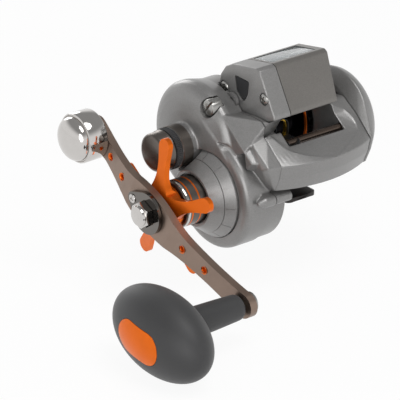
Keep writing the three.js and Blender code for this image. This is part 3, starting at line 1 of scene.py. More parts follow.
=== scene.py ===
"""A low-profile line-counter multiplier reel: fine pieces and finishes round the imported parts."""
import math

import bmesh
import bpy
from bpy.props import FloatProperty, FloatVectorProperty, IntProperty, PointerProperty
from mathutils import Matrix, Vector


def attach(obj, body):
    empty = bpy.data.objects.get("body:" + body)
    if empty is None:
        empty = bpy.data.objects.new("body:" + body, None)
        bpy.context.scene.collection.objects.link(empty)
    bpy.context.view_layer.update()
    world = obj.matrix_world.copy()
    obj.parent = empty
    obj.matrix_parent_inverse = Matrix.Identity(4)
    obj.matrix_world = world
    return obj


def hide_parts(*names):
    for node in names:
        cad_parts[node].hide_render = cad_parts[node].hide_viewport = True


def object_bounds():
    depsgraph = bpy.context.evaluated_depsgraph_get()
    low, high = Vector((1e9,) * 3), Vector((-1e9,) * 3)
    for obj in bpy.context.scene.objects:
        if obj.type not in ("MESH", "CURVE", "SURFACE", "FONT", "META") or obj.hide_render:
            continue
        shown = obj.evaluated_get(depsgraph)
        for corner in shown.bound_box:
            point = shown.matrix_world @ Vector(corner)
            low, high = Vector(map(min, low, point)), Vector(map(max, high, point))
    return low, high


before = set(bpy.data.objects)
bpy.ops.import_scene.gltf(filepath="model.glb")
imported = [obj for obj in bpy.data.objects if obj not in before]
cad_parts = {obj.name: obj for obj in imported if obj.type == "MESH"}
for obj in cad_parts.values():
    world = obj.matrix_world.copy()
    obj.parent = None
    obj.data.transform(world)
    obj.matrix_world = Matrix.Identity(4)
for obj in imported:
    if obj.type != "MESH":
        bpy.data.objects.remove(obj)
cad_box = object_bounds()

bl_info = {
    "name": "Line-counter reel",
    "version": (1, 0, 0),
    "blender": (4, 5, 0),
    "location": "View3D > Sidebar > Reel",
    "description": "Models the fine pieces of a line-counter multiplier reel and gives them their finishes",
    "category": "Object",
}

# Every length below is in millimetres, in x, f and z: f runs towards the rod tip, so y = -f
MM = 0.001
SEAM = 0.3
FAR = 90.0
# Axes along X, as (f, z)
DRIVE = (16.0, 7.0)
SPOOL = (3.94, 23.08)
IDLER = (17.861, 21.592)
WORM = (32.776, 19.998)
COUNTER_IDLER = (18.541, 36.577)
WHEELS = (18.995, 46.567)
RAIL = (35.4, 27.5)
NOTCH = (14.4, 39.7)
PALM_FRONT = (20.0, 23.7)
BOSS = (39.0, 9.3)
DOG = (28.0, 11.0)
RING = (29.4, 31.0)
REAR_SCREW = (8.8, 43.2)
FRONT_SCREW = (31.3, 45.4)
THUMB_TOP = (-12.31, 31.8)
THUMB_PIN = (-14.3, 25.4)
THUMB_END = (-15.5, 21.5)
# Places along X
WALL = (-21.5, -14.4)
PALM_WALL = (13.0, 20.6)
COVER_INNER = -21.8
GEAR_FLOOR = -15.6
GUIDE_X = -10.8
# The crank leans below forward by some degrees, and its ends lie at a reach along it
CRANK_SLOPE = 25.0
WEIGHT_REACH = -41.5
KNOB_REACH = 50.4
KNOB_TURN = 17.0


def linear(code):
    """An sRGB hex colour as linear values, which is what the shaders take."""
    parts = [int(code[i:i + 2], 16) / 255 for i in (0, 2, 4)]
    return tuple(p / 12.92 if p <= 0.04045 else ((p + 0.055) / 1.055) ** 2.4 for p in parts)


def colour(name, code, what):
    return FloatVectorProperty(name=name, description=what, default=linear(code), min=0, max=1,
                               subtype="COLOR")


def length(name, value, what):
    return FloatProperty(name=name, description=what + ", in millimetres", default=value, min=0, precision=3)


def count(name, value, what, low):
    return IntProperty(name=name, description=what, default=value, min=low)


class ReelColours(bpy.types.PropertyGroup):
    """Colours of the reel's finishes"""
    body: colour("Body", "8f8e8d", "Silver enamel of the side covers, the hood and the counter's end cap")
    counter: colour("Counter", "7d7a76", "Warmer enamel of the counter's housing")
    gunmetal: colour("Gunmetal", "6a645f", "Anodised cast control cap and drag collar")
    orange: colour("Orange", "e2690f", "Anodised star drag, knob inlay and stripes")
    bronze: colour("Bronze", "8d7a6e", "Anodised crank arm")
    chrome: colour("Chrome", "c9c6c3", "Plated nut and counterweight")
    smoked: colour("Smoked chrome", "74706c", "Dark plating of the nut's retainer")
    steel: colour("Steel", "a9a8a5", "Screws, bearings and shafts")
    brass: colour("Brass", "b58f4a", "Gears and bushings")
    rubber: colour("Rubber", "333334", "Soft-touch rubber of the knob and the grip ring")
    spool: colour("Spool", "17171a", "Anodised spool")
    # The foot's near-black colour is painted shade: it stands for the shade that the body casts on the foot's
    # top face
    foot: colour("Foot", "33302f", "Blackened steel of the foot")
    gold: colour("Gold", "d9ae3e", "Hard coating of the line guide's ring")
    rail: colour("Rail", "5c5048", "Brown anodised guide rail")
    black: colour("Black plastic", "1b1c1e", "Moulded guide, button and number wheels")
    white: colour("White plastic", "e4e2db", "Small gears and the printed digits")
    window: colour("Window", "e3e7e8", "Clear pane over the number wheels")


class ReelSizes(bpy.types.PropertyGroup):
    """Sizes of the fine details"""
    skin_step: length("Skin step", 0.34, "Cell of the skin that joins the cast forms")
    crisp_passes: count("Crisp passes", 4, "Smoothing passes over the cast forms' edges", 0)
    fine_edge: length("Fine edge", 0.2, "Rounding of machined edges")
    knurl_count: count("Knurl teeth", 72, "Teeth round the grip ring", 12)
    tick_count: count("Drag ticks", 12, "Scored lines round the drag bezel", 4)
    stripe: length("Stripe", 0.76, "Width of the orange stripes")
    score: length("Score", 0.22, "Width of the scored lines")
    flake: length("Flake", 0.25, "Grain of the enamel's metal flake, drawn coarser than life to show")


def settings():
    return bpy.context.scene.reel_sizes, bpy.context.scene.reel_colours


# Building forms

def at(x, f, z):
    return Vector((x, -f, z))


def placed(axis, slope=0.0, reach=0.0):
    """A frame on an axis along X: a slope below forward, and a reach along that slope."""
    turn = Matrix.Rotation(math.radians(slope), 4, "X")
    return Matrix.Translation(at(0, *axis)) @ turn @ Matrix.Translation(at(0, reach, 0))


def spread(low, high, number):
    return [low + (high - low) * i / (number - 1) for i in range(number)]


def circle(radius, turns):
    """Points on a circle, as (along, up), at turns in radians."""
    return [(radius * math.cos(turn), radius * math.sin(turn)) for turn in turns]


def settled(form, place=None):
    """Points the faces outwards and moves the form to its place."""
    bmesh.ops.recalc_face_normals(form, faces=form.faces)
    if place is not None:
        bmesh.ops.transform(form, matrix=place, verts=form.verts)
    return form


def turned(profile, place=None, steps=96, closed=False):
    """A form turned about X from (x, radius) points; a closed profile makes a ring."""
    form = bmesh.new()
    points = [form.verts.new((x, 0, radius)) for x, radius in profile]
    pairs = list(zip(points, points[1:])) + ([(points[-1], points[0])] if closed else [])
    edges = [form.edges.new(pair) for pair in pairs]
    bmesh.ops.spin(form, geom=points + edges, cent=(0, 0, 0), axis=(1, 0, 0), angle=math.tau, steps=steps,
                   use_merge=True)
    bmesh.ops.remove_doubles(form, verts=form.verts, dist=0.0005)
    return settled(form, place)


def rod(x0, x1, radius, place=None, steps=64):
    return turned([(x0, 0), (x0, radius), (x1, radius), (x1, 0)], place, steps)


def ring(x0, x1, inner, outer, place=None, steps=96):
    return turned([(x0, inner), (x0, outer), (x1, outer), (x1, inner)], place, steps, closed=True)


def on(axis, *spans, steps=64):
    """Rods on one axis, given as (x0, x1, radius)."""
    return [rod(x0, x1, radius, placed(axis), steps) for x0, x1, radius in spans]


def at_screws(*span):
    """Rods of one (x0, x1, radius) on the axes of the counter's two screws."""
    return [*on(REAR_SCREW, span), *on(FRONT_SCREW, span)]


def thickened(corners, move, place=None):
    """A flat face on the corners, given its thickness by a move."""
    form = bmesh.new()
    face = form.faces.new([form.verts.new(corner) for corner in corners])
    grown = bmesh.ops.extrude_face_region(form, geom=[face])["geom"]
    bmesh.ops.translate(form, vec=move, verts=[v for v in grown if isinstance(v, bmesh.types.BMVert)])
    return settled(form, place)


def plate(points, x0, x1, place=None):
    """An outline of (f, z) points given a thickness from x0 to x1."""
    return thickened([at(x0, f, z) for f, z in points], (x1 - x0, 0, 0), place)


def block(low, high, place=None):
    """A box between two (x, f, z) corners."""
    form = bmesh.new()
    bmesh.ops.create_cube(form, size=1)
    size = [h - l for l, h in zip(low, high)]
    middle = at(*[(l + h) / 2 for l, h in zip(low, high)])
    bmesh.ops.transform(form, matrix=Matrix.Translation(middle) @ Matrix.Diagonal((*size, 1)),
                        verts=form.verts)
    return settled(form, place)


def hull(points=(), circles=(), place=None, steps=96):
    """The convex form round (x, f, z) points and circles given as (x, axis, radius)."""
    form = bmesh.new()
    for point in points:
        form.verts.new(at(*point))
    across = Matrix.Rotation(math.pi / 2, 4, "Y")
    for x, axis, radius in circles:
        bmesh.ops.create_circle(form, segments=steps, radius=radius,
                                matrix=Matrix.Translation(at(x, *axis)) @ across)
    made = bmesh.ops.convex_hull(form, input=form.verts)
    inside = {v for v in made["geom_interior"] if isinstance(v, bmesh.types.BMVert)}
    bmesh.ops.delete(form, geom=list(inside), context="VERTS")
    loose = [e for e in form.edges if not e.link_faces]
    bmesh.ops.delete(form, geom=loose, context="EDGES")
    bmesh.ops.dissolve_limit(form, angle_limit=math.radians(0.4), verts=form.verts, edges=form.edges)
    return settled(form, place)


def belt(circles, x0, x1, place=None, steps=96):
    """A plate round circles given as (axis, radius)."""
    return hull(circles=[(x, axis, radius) for axis, radius in circles for x in (x0, x1)], place=place,
                steps=steps)


def drawn(loops):
    """A form drawn through closed loops of (x, f, z) points, all with as many points."""
    form = bmesh.new()
    rims = []
    for points in loops:
        corners = [form.verts.new(at(*point)) for point in points]
        rims.append([form.edges.new(pair) for pair in zip(corners, corners[1:] + corners[:1])])
    for one, other in zip(rims, rims[1:]):
        bmesh.ops.bridge_loops(form, edges=one + other)
    bmesh.ops.holes_fill(form, edges=rims[0] + rims[-1], sides=0)
    return settled(form)


def carried(sections):
    """A form drawn along X through outlines given as (x, points)."""
    return drawn([[(x, f, z) for f, z in points] for x, points in sections])


def swung(form, turn, letter, move):
    """Turns a form about the origin, by an angle and an axis's letter, and moves it."""
    bmesh.ops.rotate(form, cent=(0, 0, 0), matrix=Matrix.Rotation(turn, 3, letter), verts=form.verts)
    bmesh.ops.translate(form, vec=move, verts=form.verts)
    return form


def filleted(points, radius, steps=5):
    """An outline whose corners are rounded, by a radius or by a list of one for each corner."""
    made = []
    for i, corner in enumerate(points):
        here = Vector(corner)
        one = Vector(points[i - 1]) - here
        other = Vector(points[(i + 1) % len(points)]) - here
        wanted = radius[i] if isinstance(radius, (list, tuple)) else radius
        half = one.angle(other) / 2
        back = min(wanted / math.tan(half), one.length * 0.45, other.length * 0.45)
        start, end = here + one.normalized() * back, here + other.normalized() * back
        for k in range(steps + 1):
            t = k / steps
            made.append(tuple(start * (1 - t) ** 2 + here * 2 * t * (1 - t) + end * t ** 2))
    return made


def offset(points, depth):
    """An open line of (f, z) points moved sideways by a depth, to its right."""
    made = []
    for i, point in enumerate(points):
        before = Vector(points[i]) - Vector(points[i - 1]) if i else None
        after = Vector(points[i + 1]) - Vector(points[i]) if i < len(points) - 1 else None
        sides = [Vector((d.y, -d.x)).normalized() for d in (before, after) if d is not None]
        middle = sum(sides, Vector((0, 0))).normalized()
        made.append(tuple(Vector(point) + middle * depth / middle.dot(sides[0])))
    return made


def closed_offset(points, depth):
    """A closed outline moved sideways by a depth, to its right."""
    return offset([points[-1], *points, points[0]], depth)[1:-1]


def smooth_at(knots, place):
    """The height at a place of a smooth curve through (place, height) knots."""
    last = len(knots) - 2
    i = max([k for k in range(last + 1) if knots[k][0] <= place] or [0])
    (a, ya), (b, yb) = knots[i], knots[i + 1]
    before, after = knots[max(i - 1, 0)], knots[min(i + 2, last + 1)]
    t = min(max((place - a) / (b - a), 0), 1)
    slope_a = (yb - before[1]) / (b - before[0]) * (b - a)
    slope_b = (after[1] - ya) / (after[0] - a) * (b - a)
    return ((2 * t ** 3 - 3 * t ** 2 + 1) * ya + (t ** 3 - 2 * t ** 2 + t) * slope_a
            + (3 * t ** 2 - 2 * t ** 3) * yb + (t ** 3 - t ** 2) * slope_b)


def linked(name, data):
    """A new object in the scene that shows some data."""
    made = bpy.data.objects.new(name, data)
    bpy.context.scene.collection.objects.link(made)
    return made


def held(form, name="form"):
    """A new object in the scene that takes over a form."""
    mesh = bpy.data.meshes.new(name)
    form.to_mesh(mesh)
    form.free()
    return linked(name, mesh)


def taken(holder, others=()):
    """The form that an object has once its modifiers are applied; the objects are removed."""
    bpy.context.view_layer.update()
    form = bmesh.new()
    form.from_object(holder, bpy.context.evaluated_depsgraph_get())
    for used in [holder, *others]:
        mesh = used.data
        bpy.data.objects.remove(used)
        bpy.data.meshes.remove(mesh)
    return form


def combined(form, tools, operation):
    holder = held(form)
    others = [held(tool) for tool in tools]
    for other in others:
        step = holder.modifiers.new("step", "BOOLEAN")
        step.operation = operation
        step.solver = "MANIFOLD"
        step.object = other
    made = taken(holder, others)
    if not made.faces:
        raise RuntimeError("a cut or a joint left nothing of a form")
    bmesh.ops.dissolve_limit(made, angle_limit=math.radians(0.2), verts=made.verts, edges=made.edges)
    return made


def cut(form, *tools):
    return combined(form, tools, "DIFFERENCE")


def joined(form, *more):
    return combined(form, more, "UNION")


def kept(form, *rooms):
    return combined(form, rooms, "INTERSECT")


def skinned(forms, step, passes):
    """One smooth skin over several forms that run into each other, as a casting has."""
    whole = forms[0]
    for other in forms[1:]:
        mesh = bpy.data.meshes.new("form")
        other.to_mesh(mesh)
        other.free()
        whole.from_mesh(mesh)
        bpy.data.meshes.remove(mesh)
    holder = held(whole)
    skin = holder.modifiers.new("skin", "REMESH")
    skin.mode = "VOXEL"
    skin.voxel_size = step
    soft = holder.modifiers.new("soft", "SMOOTH")
    soft.factor = 0.5
    soft.iterations = passes
    return taken(holder)


def sharp_edges(form, angle):
    return [e for e in form.edges if e.is_manifold and e.calc_face_angle(0) > math.radians(angle)]


def bevelled(form, edges, width, segments):
    bmesh.ops.bevel(form, geom=edges, offset=width, offset_type="OFFSET", segments=segments, profile=0.5,
                    affect="EDGES", clamp_overlap=True, material=-1)
    return form


def softened(form, width, angle=30, segments=3):
    """Rounds every edge that is sharper than an angle."""
    return bevelled(form, sharp_edges(form, angle), width, segments)


def piece(name, form, look, stands_for=None, body="frame", smooth=35, bevel=0.0):
    """A finished form as a piece that moves with a body and may stand for a CAD node."""
    bmesh.ops.scale(form, vec=(MM,) * 3, verts=form.verts)
    for face in form.faces:
        face.smooth = True
    sharp = set(sharp_edges(form, smooth))
    for edge in form.edges:
        edge.smooth = edge not in sharp
    made = held(form, name)
    made.data.materials.append(finish(look))
    if bevel:
        rounded = made.modifiers.new("rounded", "BEVEL")
        rounded.width = bevel * MM
        rounded.segments = 2
        rounded.limit_method = "ANGLE"
        rounded.angle_limit = math.radians(smooth)
        rounded.harden_normals = True
    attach(made, body)
    if stands_for:
        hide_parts(stands_for)


# Finishes

def node(tree, kind, inputs=None, **options):
    """Adds a node with its options; an input is a value or another node's output."""
    made = tree.nodes.new("ShaderNode" + kind)
    for name, value in options.items():
        setattr(made, name, value)
    for name, value in (inputs or {}).items():
        if isinstance(value, bpy.types.NodeSocket):
            tree.links.new(value, made.inputs[name])
        else:
            made.inputs[name].default_value = value
    return made


def started(name):
    """An empty material, its node tree and the place on the object."""
    made = bpy.data.materials.new(name)
    made.use_nodes = True
    made.node_tree.nodes.clear()
    place = node(made.node_tree, "TexCoord").outputs["Object"]
    return made, made.node_tree, place


def shown(tree, kind, inputs):
    """Adds the shader that makes the surface."""
    node(tree, "OutputMaterial", {"Surface": node(tree, kind, inputs).outputs[0]})


def shade(base, share):
    """A colour made lighter or darker, with its alpha."""
    return (*[min(channel * share, 1) for channel in base], 1)


def noise(tree, place, grain, detail):
    """Noise whose grain is given in millimetres."""
    made = node(tree, "TexNoise", {"Vector": place, "Scale": 1 / (grain * MM), "Detail": detail})
    return made.outputs["Fac"]


def tool_marks(tree, place, pitch, run, detail):
    """Noise drawn out round the axis, as a lathe's tool leaves it."""
    lines = node(tree, "Mapping", {"Vector": place, "Scale": [1 / (size * MM) for size in (pitch, run, run)]})
    made = node(tree, "TexNoise", {"Vector": lines.outputs[0], "Scale": 1.0, "Detail": detail})
    return made.outputs["Fac"]


def mixed(tree, share, one, other, blend="MIX"):
    return node(tree, "Mix", {0: share, 6: one, 7: other}, data_type="RGBA", blend_type=blend).outputs[2]


def tinted(tree, share, base, dark, light):
    """A base colour that runs from a darker to a lighter share of itself."""
    return mixed(tree, share, shade(base, dark), shade(base, light))


def ranged(tree, value, low, high):
    return node(tree, "MapRange", {"Value": value, "To Min": low, "To Max": high}).outputs[0]


def bumped(tree, height, strength, depth):
    """Fine relief whose depth is given in millimetres."""
    return node(tree, "Bump", {"Height": height, "Strength": strength, "Distance": depth * MM}).outputs[0]


def flake_enamel(name, base):
    """Sprayed silver enamel with metal flake under a thin clear coat, on a casting."""
    made, tree, place = started(name)
    sizes, _ = settings()
    # Each flake lies at its own tilt, so the enamel glints in fine grains; the glints are painted into the
    # colour, each grain lighter or darker at random
    flakes = node(tree, "TexVoronoi", {"Vector": place, "Scale": 1 / (sizes.flake * MM)})
    grain = node(tree, "SeparateColor", {"Color": flakes.outputs["Color"]}).outputs[0]
    # The spray lies a little thicker in some places, which shifts its tone softly
    tone = tinted(tree, noise(tree, place, 14, 2.0), base, 0.93, 1.07)
    # Painted glint: each flake's grain is drawn lighter or darker in the base colour
    painted_glint = tinted(tree, grain, (1, 1, 1), 0.84, 1.0)
    peel = noise(tree, place, 0.5, 1.0)
    shown(tree, "BsdfPrincipled", {
        "Base Color": mixed(tree, 1.0, tone, painted_glint, "MULTIPLY"), "Metallic": 0.62,
        "Roughness": ranged(tree, grain, 0.34, 0.46), "Normal": bumped(tree, peel, 0.05, 0.05),
        "Coat Weight": 0.25, "Coat Roughness": 0.22})
    return made


def anodised(name, base, roughness=0.33, metallic=0.9):
    """Anodised aluminium over fine turning marks."""
    made, tree, place = started(name)
    # The tool leaves faint lines round the axis under the colour
    marks = tool_marks(tree, place, 0.12, 6, 2.0)
    # The dye takes unevenly, which the eye reads as depth in the colour
    patch = noise(tree, place, 5, 3.0)
    shown(tree, "BsdfPrincipled", {
        "Base Color": tinted(tree, patch, base, 0.9, 1.1), "Metallic": metallic,
        "Roughness": ranged(tree, marks, roughness - 0.06, roughness + 0.08),
        "Normal": bumped(tree, marks, 0.12, 0.02)})
    return made


def plated(name, base, roughness=0.07):
    """Polished plating."""
    made, tree, place = started(name)
    # A faint haze dims the mirror here and there, which keeps it from looking like glass
    haze = noise(tree, place, 3, 4.0)
    shown(tree, "BsdfPrincipled", {
        "Base Color": tinted(tree, haze, base, 0.94, 1.04), "Metallic": 1.0,
        "Roughness": ranged(tree, haze, roughness * 0.5, roughness * 1.9)})
    return made


def machined(name, base, roughness=0.28):
    """Bare turned metal."""
    made, tree, place = started(name)
    # Its tool marks break the shine into fine lines
    marks = tool_marks(tree, place, 0.15, 4, 3.0)
    shown(tree, "BsdfPrincipled", {
        "Base Color": tinted(tree, marks, base, 0.86, 1.06), "Metallic": 1.0,
        "Roughness": ranged(tree, marks, roughness - 0.08, roughness + 0.1),
        "Normal": bumped(tree, marks, 0.2, 0.02)})
    return made


def moulded(name, base, roughness=0.42, grain=0.35):
    """Moulded plastic."""
    made, tree, place = started(name)
    # The spark-eroded mould leaves a fine texture, which dulls the plastic evenly
    pits = noise(tree, place, grain, 3.0)
    shown(tree, "BsdfPrincipled", {
        "Base Color": tinted(tree, pits, base, 0.82, 1.2),
        "Roughness": ranged(tree, pits, roughness - 0.06, roughness + 0.1),
        "Normal": bumped(tree, pits, 0.25, 0.03)})
    return made


def soft_touch(name, base):
    """Soft-touch rubber: a dull bloom over a fine stipple."""
    made, tree, place = started(name)
    stipple = node(tree, "TexVoronoi", {"Vector": place, "Scale": 1 / (0.35 * MM)}).outputs["Distance"]
    # Handling polishes the rubber in soft patches
    worn = noise(tree, place, 9, 2.0)
    shown(tree, "BsdfPrincipled", {
        "Base Color": tinted(tree, worn, base, 0.9, 1.12), "Roughness": ranged(tree, worn, 0.48, 0.62),
        "Normal": bumped(tree, stipple, 0.2, 0.03), "Sheen Weight": 0.12, "Sheen Roughness": 0.5})
    return made


def woven_carbon(name, base):
    """Carbon cloth of the drag washer."""
    made, tree, place = started(name)
    # Two sets of tows cross, one dark and one lighter, which reads as a weave
    tows = node(tree, "TexChecker", {"Vector": place, "Scale": 1 / (1.6 * MM), "Color1": shade(base, 0.6),
                                     "Color2": shade(base, 1.5)}).outputs["Color"]
    shown(tree, "BsdfPrincipled", {"Base Color": tows, "Roughness": 0.35})
    return made


def clear_pane(name, base):
    """Clear moulded pane."""
    made, tree, place = started(name)
    # A haze of fine scratches softens what it mirrors
    haze = noise(tree, place, 2, 5.0)
    shown(tree, "BsdfPrincipled", {
        "Base Color": shade(base, 1), "Roughness": ranged(tree, haze, 0.02, 0.14), "IOR": 1.49,
        "Transmission Weight": 0.72})
    return made


# What makes each finish, its colour, the slot of the part it fills, and what else the maker takes
FINISHES = {
    "silver_flake_enamel": (flake_enamel, "body", "painted_grey"),
    "warm_flake_enamel": (flake_enamel, "counter", "painted_grey"),
    "gunmetal_anodised_aluminium": (anodised, "gunmetal", "dark_grey", 0.3),
    "orange_anodised_aluminium": (anodised, "orange", "orange_anodised", 0.3, 0.75),
    "bronze_anodised_aluminium": (anodised, "bronze", "bronze_anodised", 0.34),
    "brown_anodised_rail": (anodised, "rail", "steel", 0.26),
    "black_anodised_aluminium": (anodised, "spool", "black_steel", 0.32),
    # The foot's dark steel is painted shade, for the shade under the body
    "blackened_stamped_steel": (anodised, "foot", "black_steel", 0.3, 0.6),
    "polished_chrome_plate": (plated, "chrome", "chrome"),
    "smoked_chrome_plate": (plated, "smoked", "chrome", 0.12),
    "gold_hard_coating": (plated, "gold", "gold", 0.14),
    "turned_stainless_steel": (machined, "steel", "steel"),
    "moulded_black_plastic": (moulded, "black", "black_plastic"),
    "soft_touch_rubber": (soft_touch, "rubber", "black_rubber"),
    "clear_moulded_pane": (clear_pane, "window", "clear_window"),
    # The next ones dress no piece that fills a slot
    "cut_brass": (machined, "brass", None, 0.3),
    "moulded_white_nylon": (moulded, "white", None, 0.5),
    "printed_white_ink": (moulded, "white", None, 0.6, 0.2),
    "woven_carbon_fibre": (woven_carbon, "black", None),
}


def finish(name):
    """The finish of that name, made when it is first asked for."""
    found = bpy.data.materials.get(name)
    if found:
        return found
    _, colours = settings()
    maker, base, _, *rest = FINISHES[name]
    return maker(name, getattr(colours, base), *rest)


# Shapes that several pieces share

# The hood's outline, from its top past the crease to its lip
HOOD = [(22.8, 38.0), (29.2, 34.8), (35.3, 30.8), (39.6, 27.0), (43.6, 23.5), (42.4, 18.4), (39.9, 12.8)]
HOOD_CREASE = 4
HOOD_LEFT = -21.7
HOOD_RIGHT = 20.6
HOOD_BULGE = 5.0
HOOD_CROWN = 1.6
HOOD_WALL = 2.2
# How far under the hood the frame's walls end
UNDER_HOOD = 2.5
HORN = [(-30, 19.6, 38.2), (-30, 32.8, 27.7), (-20.3, 8.4, 35.4), (-20.3, 34.4, 37.4), (-14.4, 8.4, 35.4),
        (-14.4, 34.4, 37.4), (-29.8, 12, 22), (-14.4, 12, 22), (-14.4, 26, 24), (-29.8, 26, 24)]
COUNTER = [(7.6, 36.4), (15.5, 34.7), (23.7, 35.2), (31.2, 36.3), (37.6, 39), (37, 40.6), (28.7, 55.2),
           (27, 55.9), (13.2, 53.5), (9.4, 51.4), (6.6, 47.6), (5.6, 43), (5.8, 39)]
COUNTER_CORNER = 1.4
COUNTER_WALL = 1.6
# The edge of the hollow round the mouth, on the hood
SCOOP = [(-19.2, 33.9, 32.1), (-17.7, 37.2, 29.7), (-16.1, 39.8, 27.7), (-13.3, 42.3, 26.3),
         (-9.1, 45.0, 25.1), (-4.4, 47.2, 24.2), (0.3, 48.4, 23.5), (4.6, 46.9, 24.2), (8.2, 45.2, 24.9),
         (13.0, 42.9, 25.8), (17.3, 40.5, 26.8), (18.0, 38.3, 28.4), (17.8, 36.3, 30.1), (16.4, 33.6, 32.3)]
# Rooms inside, as radii and as rods
GEAR_ROOM = [(SPOOL, 19.1), (DRIVE, 19.3)]
SPOOL_ROOM = 16.1
RAIL_ROOM = (-15.5, 14.5, 1.7)


def hood_line(x, depth):
    """The hood's outline at a place across it, and a depth under its surface."""
    across = (2 * x - HOOD_RIGHT - HOOD_LEFT) / (HOOD_RIGHT - HOOD_LEFT)
    middle = max(1 - across ** 2, 0)
    upper = offset(HOOD, -HOOD_CROWN * middle)[:HOOD_CREASE]
    return offset([*upper, *[(f + HOOD_BULGE * middle, z) for f, z in HOOD[HOOD_CREASE:]]], depth)


def gear_room(teeth):
    """The radius of the room round a gear."""
    module, tooth = 0.5, 0.375
    return module * teeth / 2 + tooth + SEAM


def scoop():
    """What the line's mouth takes out of the hood: a hollow that narrows inwards."""
    away = [(x, f + 14, z + 16) for x, f, z in SCOOP]
    deep = [(-13.8, 38.8, 27.9), (11.6, 38.8, 27.9), (12.3, 36, 29.6), (12.3, 33, 31.8)]
    return hull(SCOOP + away + deep + [(-15, 30, 40), (13.5, 28, 40)])


def counter_room():
    """The room that its neighbours leave for the counter."""
    return plate(filleted(closed_offset(COUNTER, SEAM), 1.2), -20.3, 22)


class Piece:
    """What the operators share"""
    bl_options = {"REGISTER"}

    def execute(self, context):
        sizes, _ = settings()
        self.build(sizes)
        return {"FINISHED"}


class REEL_OT_frame(Piece, bpy.types.Operator):
    """Machines the frame: two side walls, the floor between them and the bosses for shafts and screws"""
    bl_idname = "reel.frame"
    bl_label = "Frame"

    def build(self, sizes):
        left, right = WALL
        bosses = [*on(DRIVE, (-19.5, right, 5)), *on(IDLER, (-17.3, right, 1.2)),
                  *on(WORM, (GEAR_FLOOR, -14.1, 3.2)), *on(NOTCH, (left, -20.3, 3.2)),
                  *on(DOG, (-22.4, -15.3, 0.9))]
        arm = cut(belt([(BOSS, 2.1), (DRIVE, 7)], left, right), belt(GEAR_ROOM, left - 1, GEAR_FLOOR))
        body = joined(self.handle_wall(), self.palm_wall(), self.floor(), arm, *bosses)
        holes = [*on(DRIVE, (-21, -16, 4.1)), *on(SPOOL, (-23, -13, 2.2)), *on(WORM, (-17, 14.9, 1.2)),
                 *on(RAIL, RAIL_ROOM), *on(NOTCH, (-23, right, 1.7)),
                 *on(COUNTER_IDLER, (-17.3, GEAR_FLOOR, gear_room(24))),
                 belt([(THUMB_PIN, 1.2), (THUMB_END, 1.2)], -16.6, 14.4, steps=32)]
        body = cut(body, counter_room(), *holes, *at_screws(-25, -19.2, 2.4))
        piece("frame_body", body, "silver_flake_enamel", "frame", bevel=sizes.fine_edge)

    def handle_wall(self):
        left, right = WALL
        nose = [*hood_line(left, UNDER_HOOD), (21, 2.5), (23.8, 26)]
        gears = joined(belt(GEAR_ROOM, left - 1, GEAR_FLOOR),
                       *on(IDLER, (-17.3, GEAR_FLOOR, gear_room(36))),
                       *on(WORM, (left - 1, GEAR_FLOOR, gear_room(24))))
        wall = joined(belt([(SPOOL, 20.8), (DRIVE, 21)], left, right), plate(nose, left, right),
                      kept(hull(HORN), block((left, -FAR, -FAR), (right, FAR, FAR))))
        return cut(wall, gears)

    def palm_wall(self):
        radius = 17.6
        low, high = PALM_WALL
        room = [(x, [*hood_line(x, UNDER_HOOD), (FAR, -5), (FAR, FAR), (24, FAR)])
                for x in spread(low - 1, high, 9)]
        return cut(belt([(SPOOL, radius), (PALM_FRONT, radius)], low, high), carried(room),
                   *on(SPOOL, (12, 22, 16.5), steps=128))

    def floor(self):
        """The floor, with room for the foot's rivets."""
        half = 1.8
        rivets = [block((-half, f - half, 0), (half, f + half, 5.3)) for f in (19, -9)]
        return cut(block((-14.7, -14, 2.5), (13.3, 21, 6.6)), *on(SPOOL, (-16, 15, SPOOL_ROOM), steps=128),
                   *rivets)


class REEL_OT_hood(Piece, bpy.types.Operator):
    """Forms the front hood with its crease, its lip and the scooped mouth for the line"""
    bl_idname = "reel.hood"
    bl_label = "Front hood"

    def build(self, sizes):
        places = spread(HOOD_LEFT, HOOD_RIGHT, 26)
        sheet = carried([(x, [*hood_line(x, 0), *reversed(hood_line(x, HOOD_WALL))]) for x in places])
        sill = plate([(38.6, 25.2), (38.6, 29), (41.5, 28), (44, 24), (41, 22.5)], -13.6, 12)
        mouth = block((-14, -FAR, 24.2), (12.3, 38.65, FAR))
        horn_room = block((-30, 0, 24), (-13.7, 33.8, FAR))
        body = cut(joined(sheet, sill), scoop(), mouth, horn_room, counter_room(), *on(RAIL, RAIL_ROOM))
        # The skin rounds the sheet's ends too, so they are cut square again
        body = skinned([body], sizes.skin_step * 0.85, sizes.crisp_passes)
        body = cut(body, block((HOOD_RIGHT, -FAR, -FAR), (30, FAR, FAR)),
                   block((-30, -FAR, -FAR), (HOOD_LEFT, FAR, FAR)))
        piece("hood_shell", body, "silver_flake_enamel", "front_hood", smooth=50)


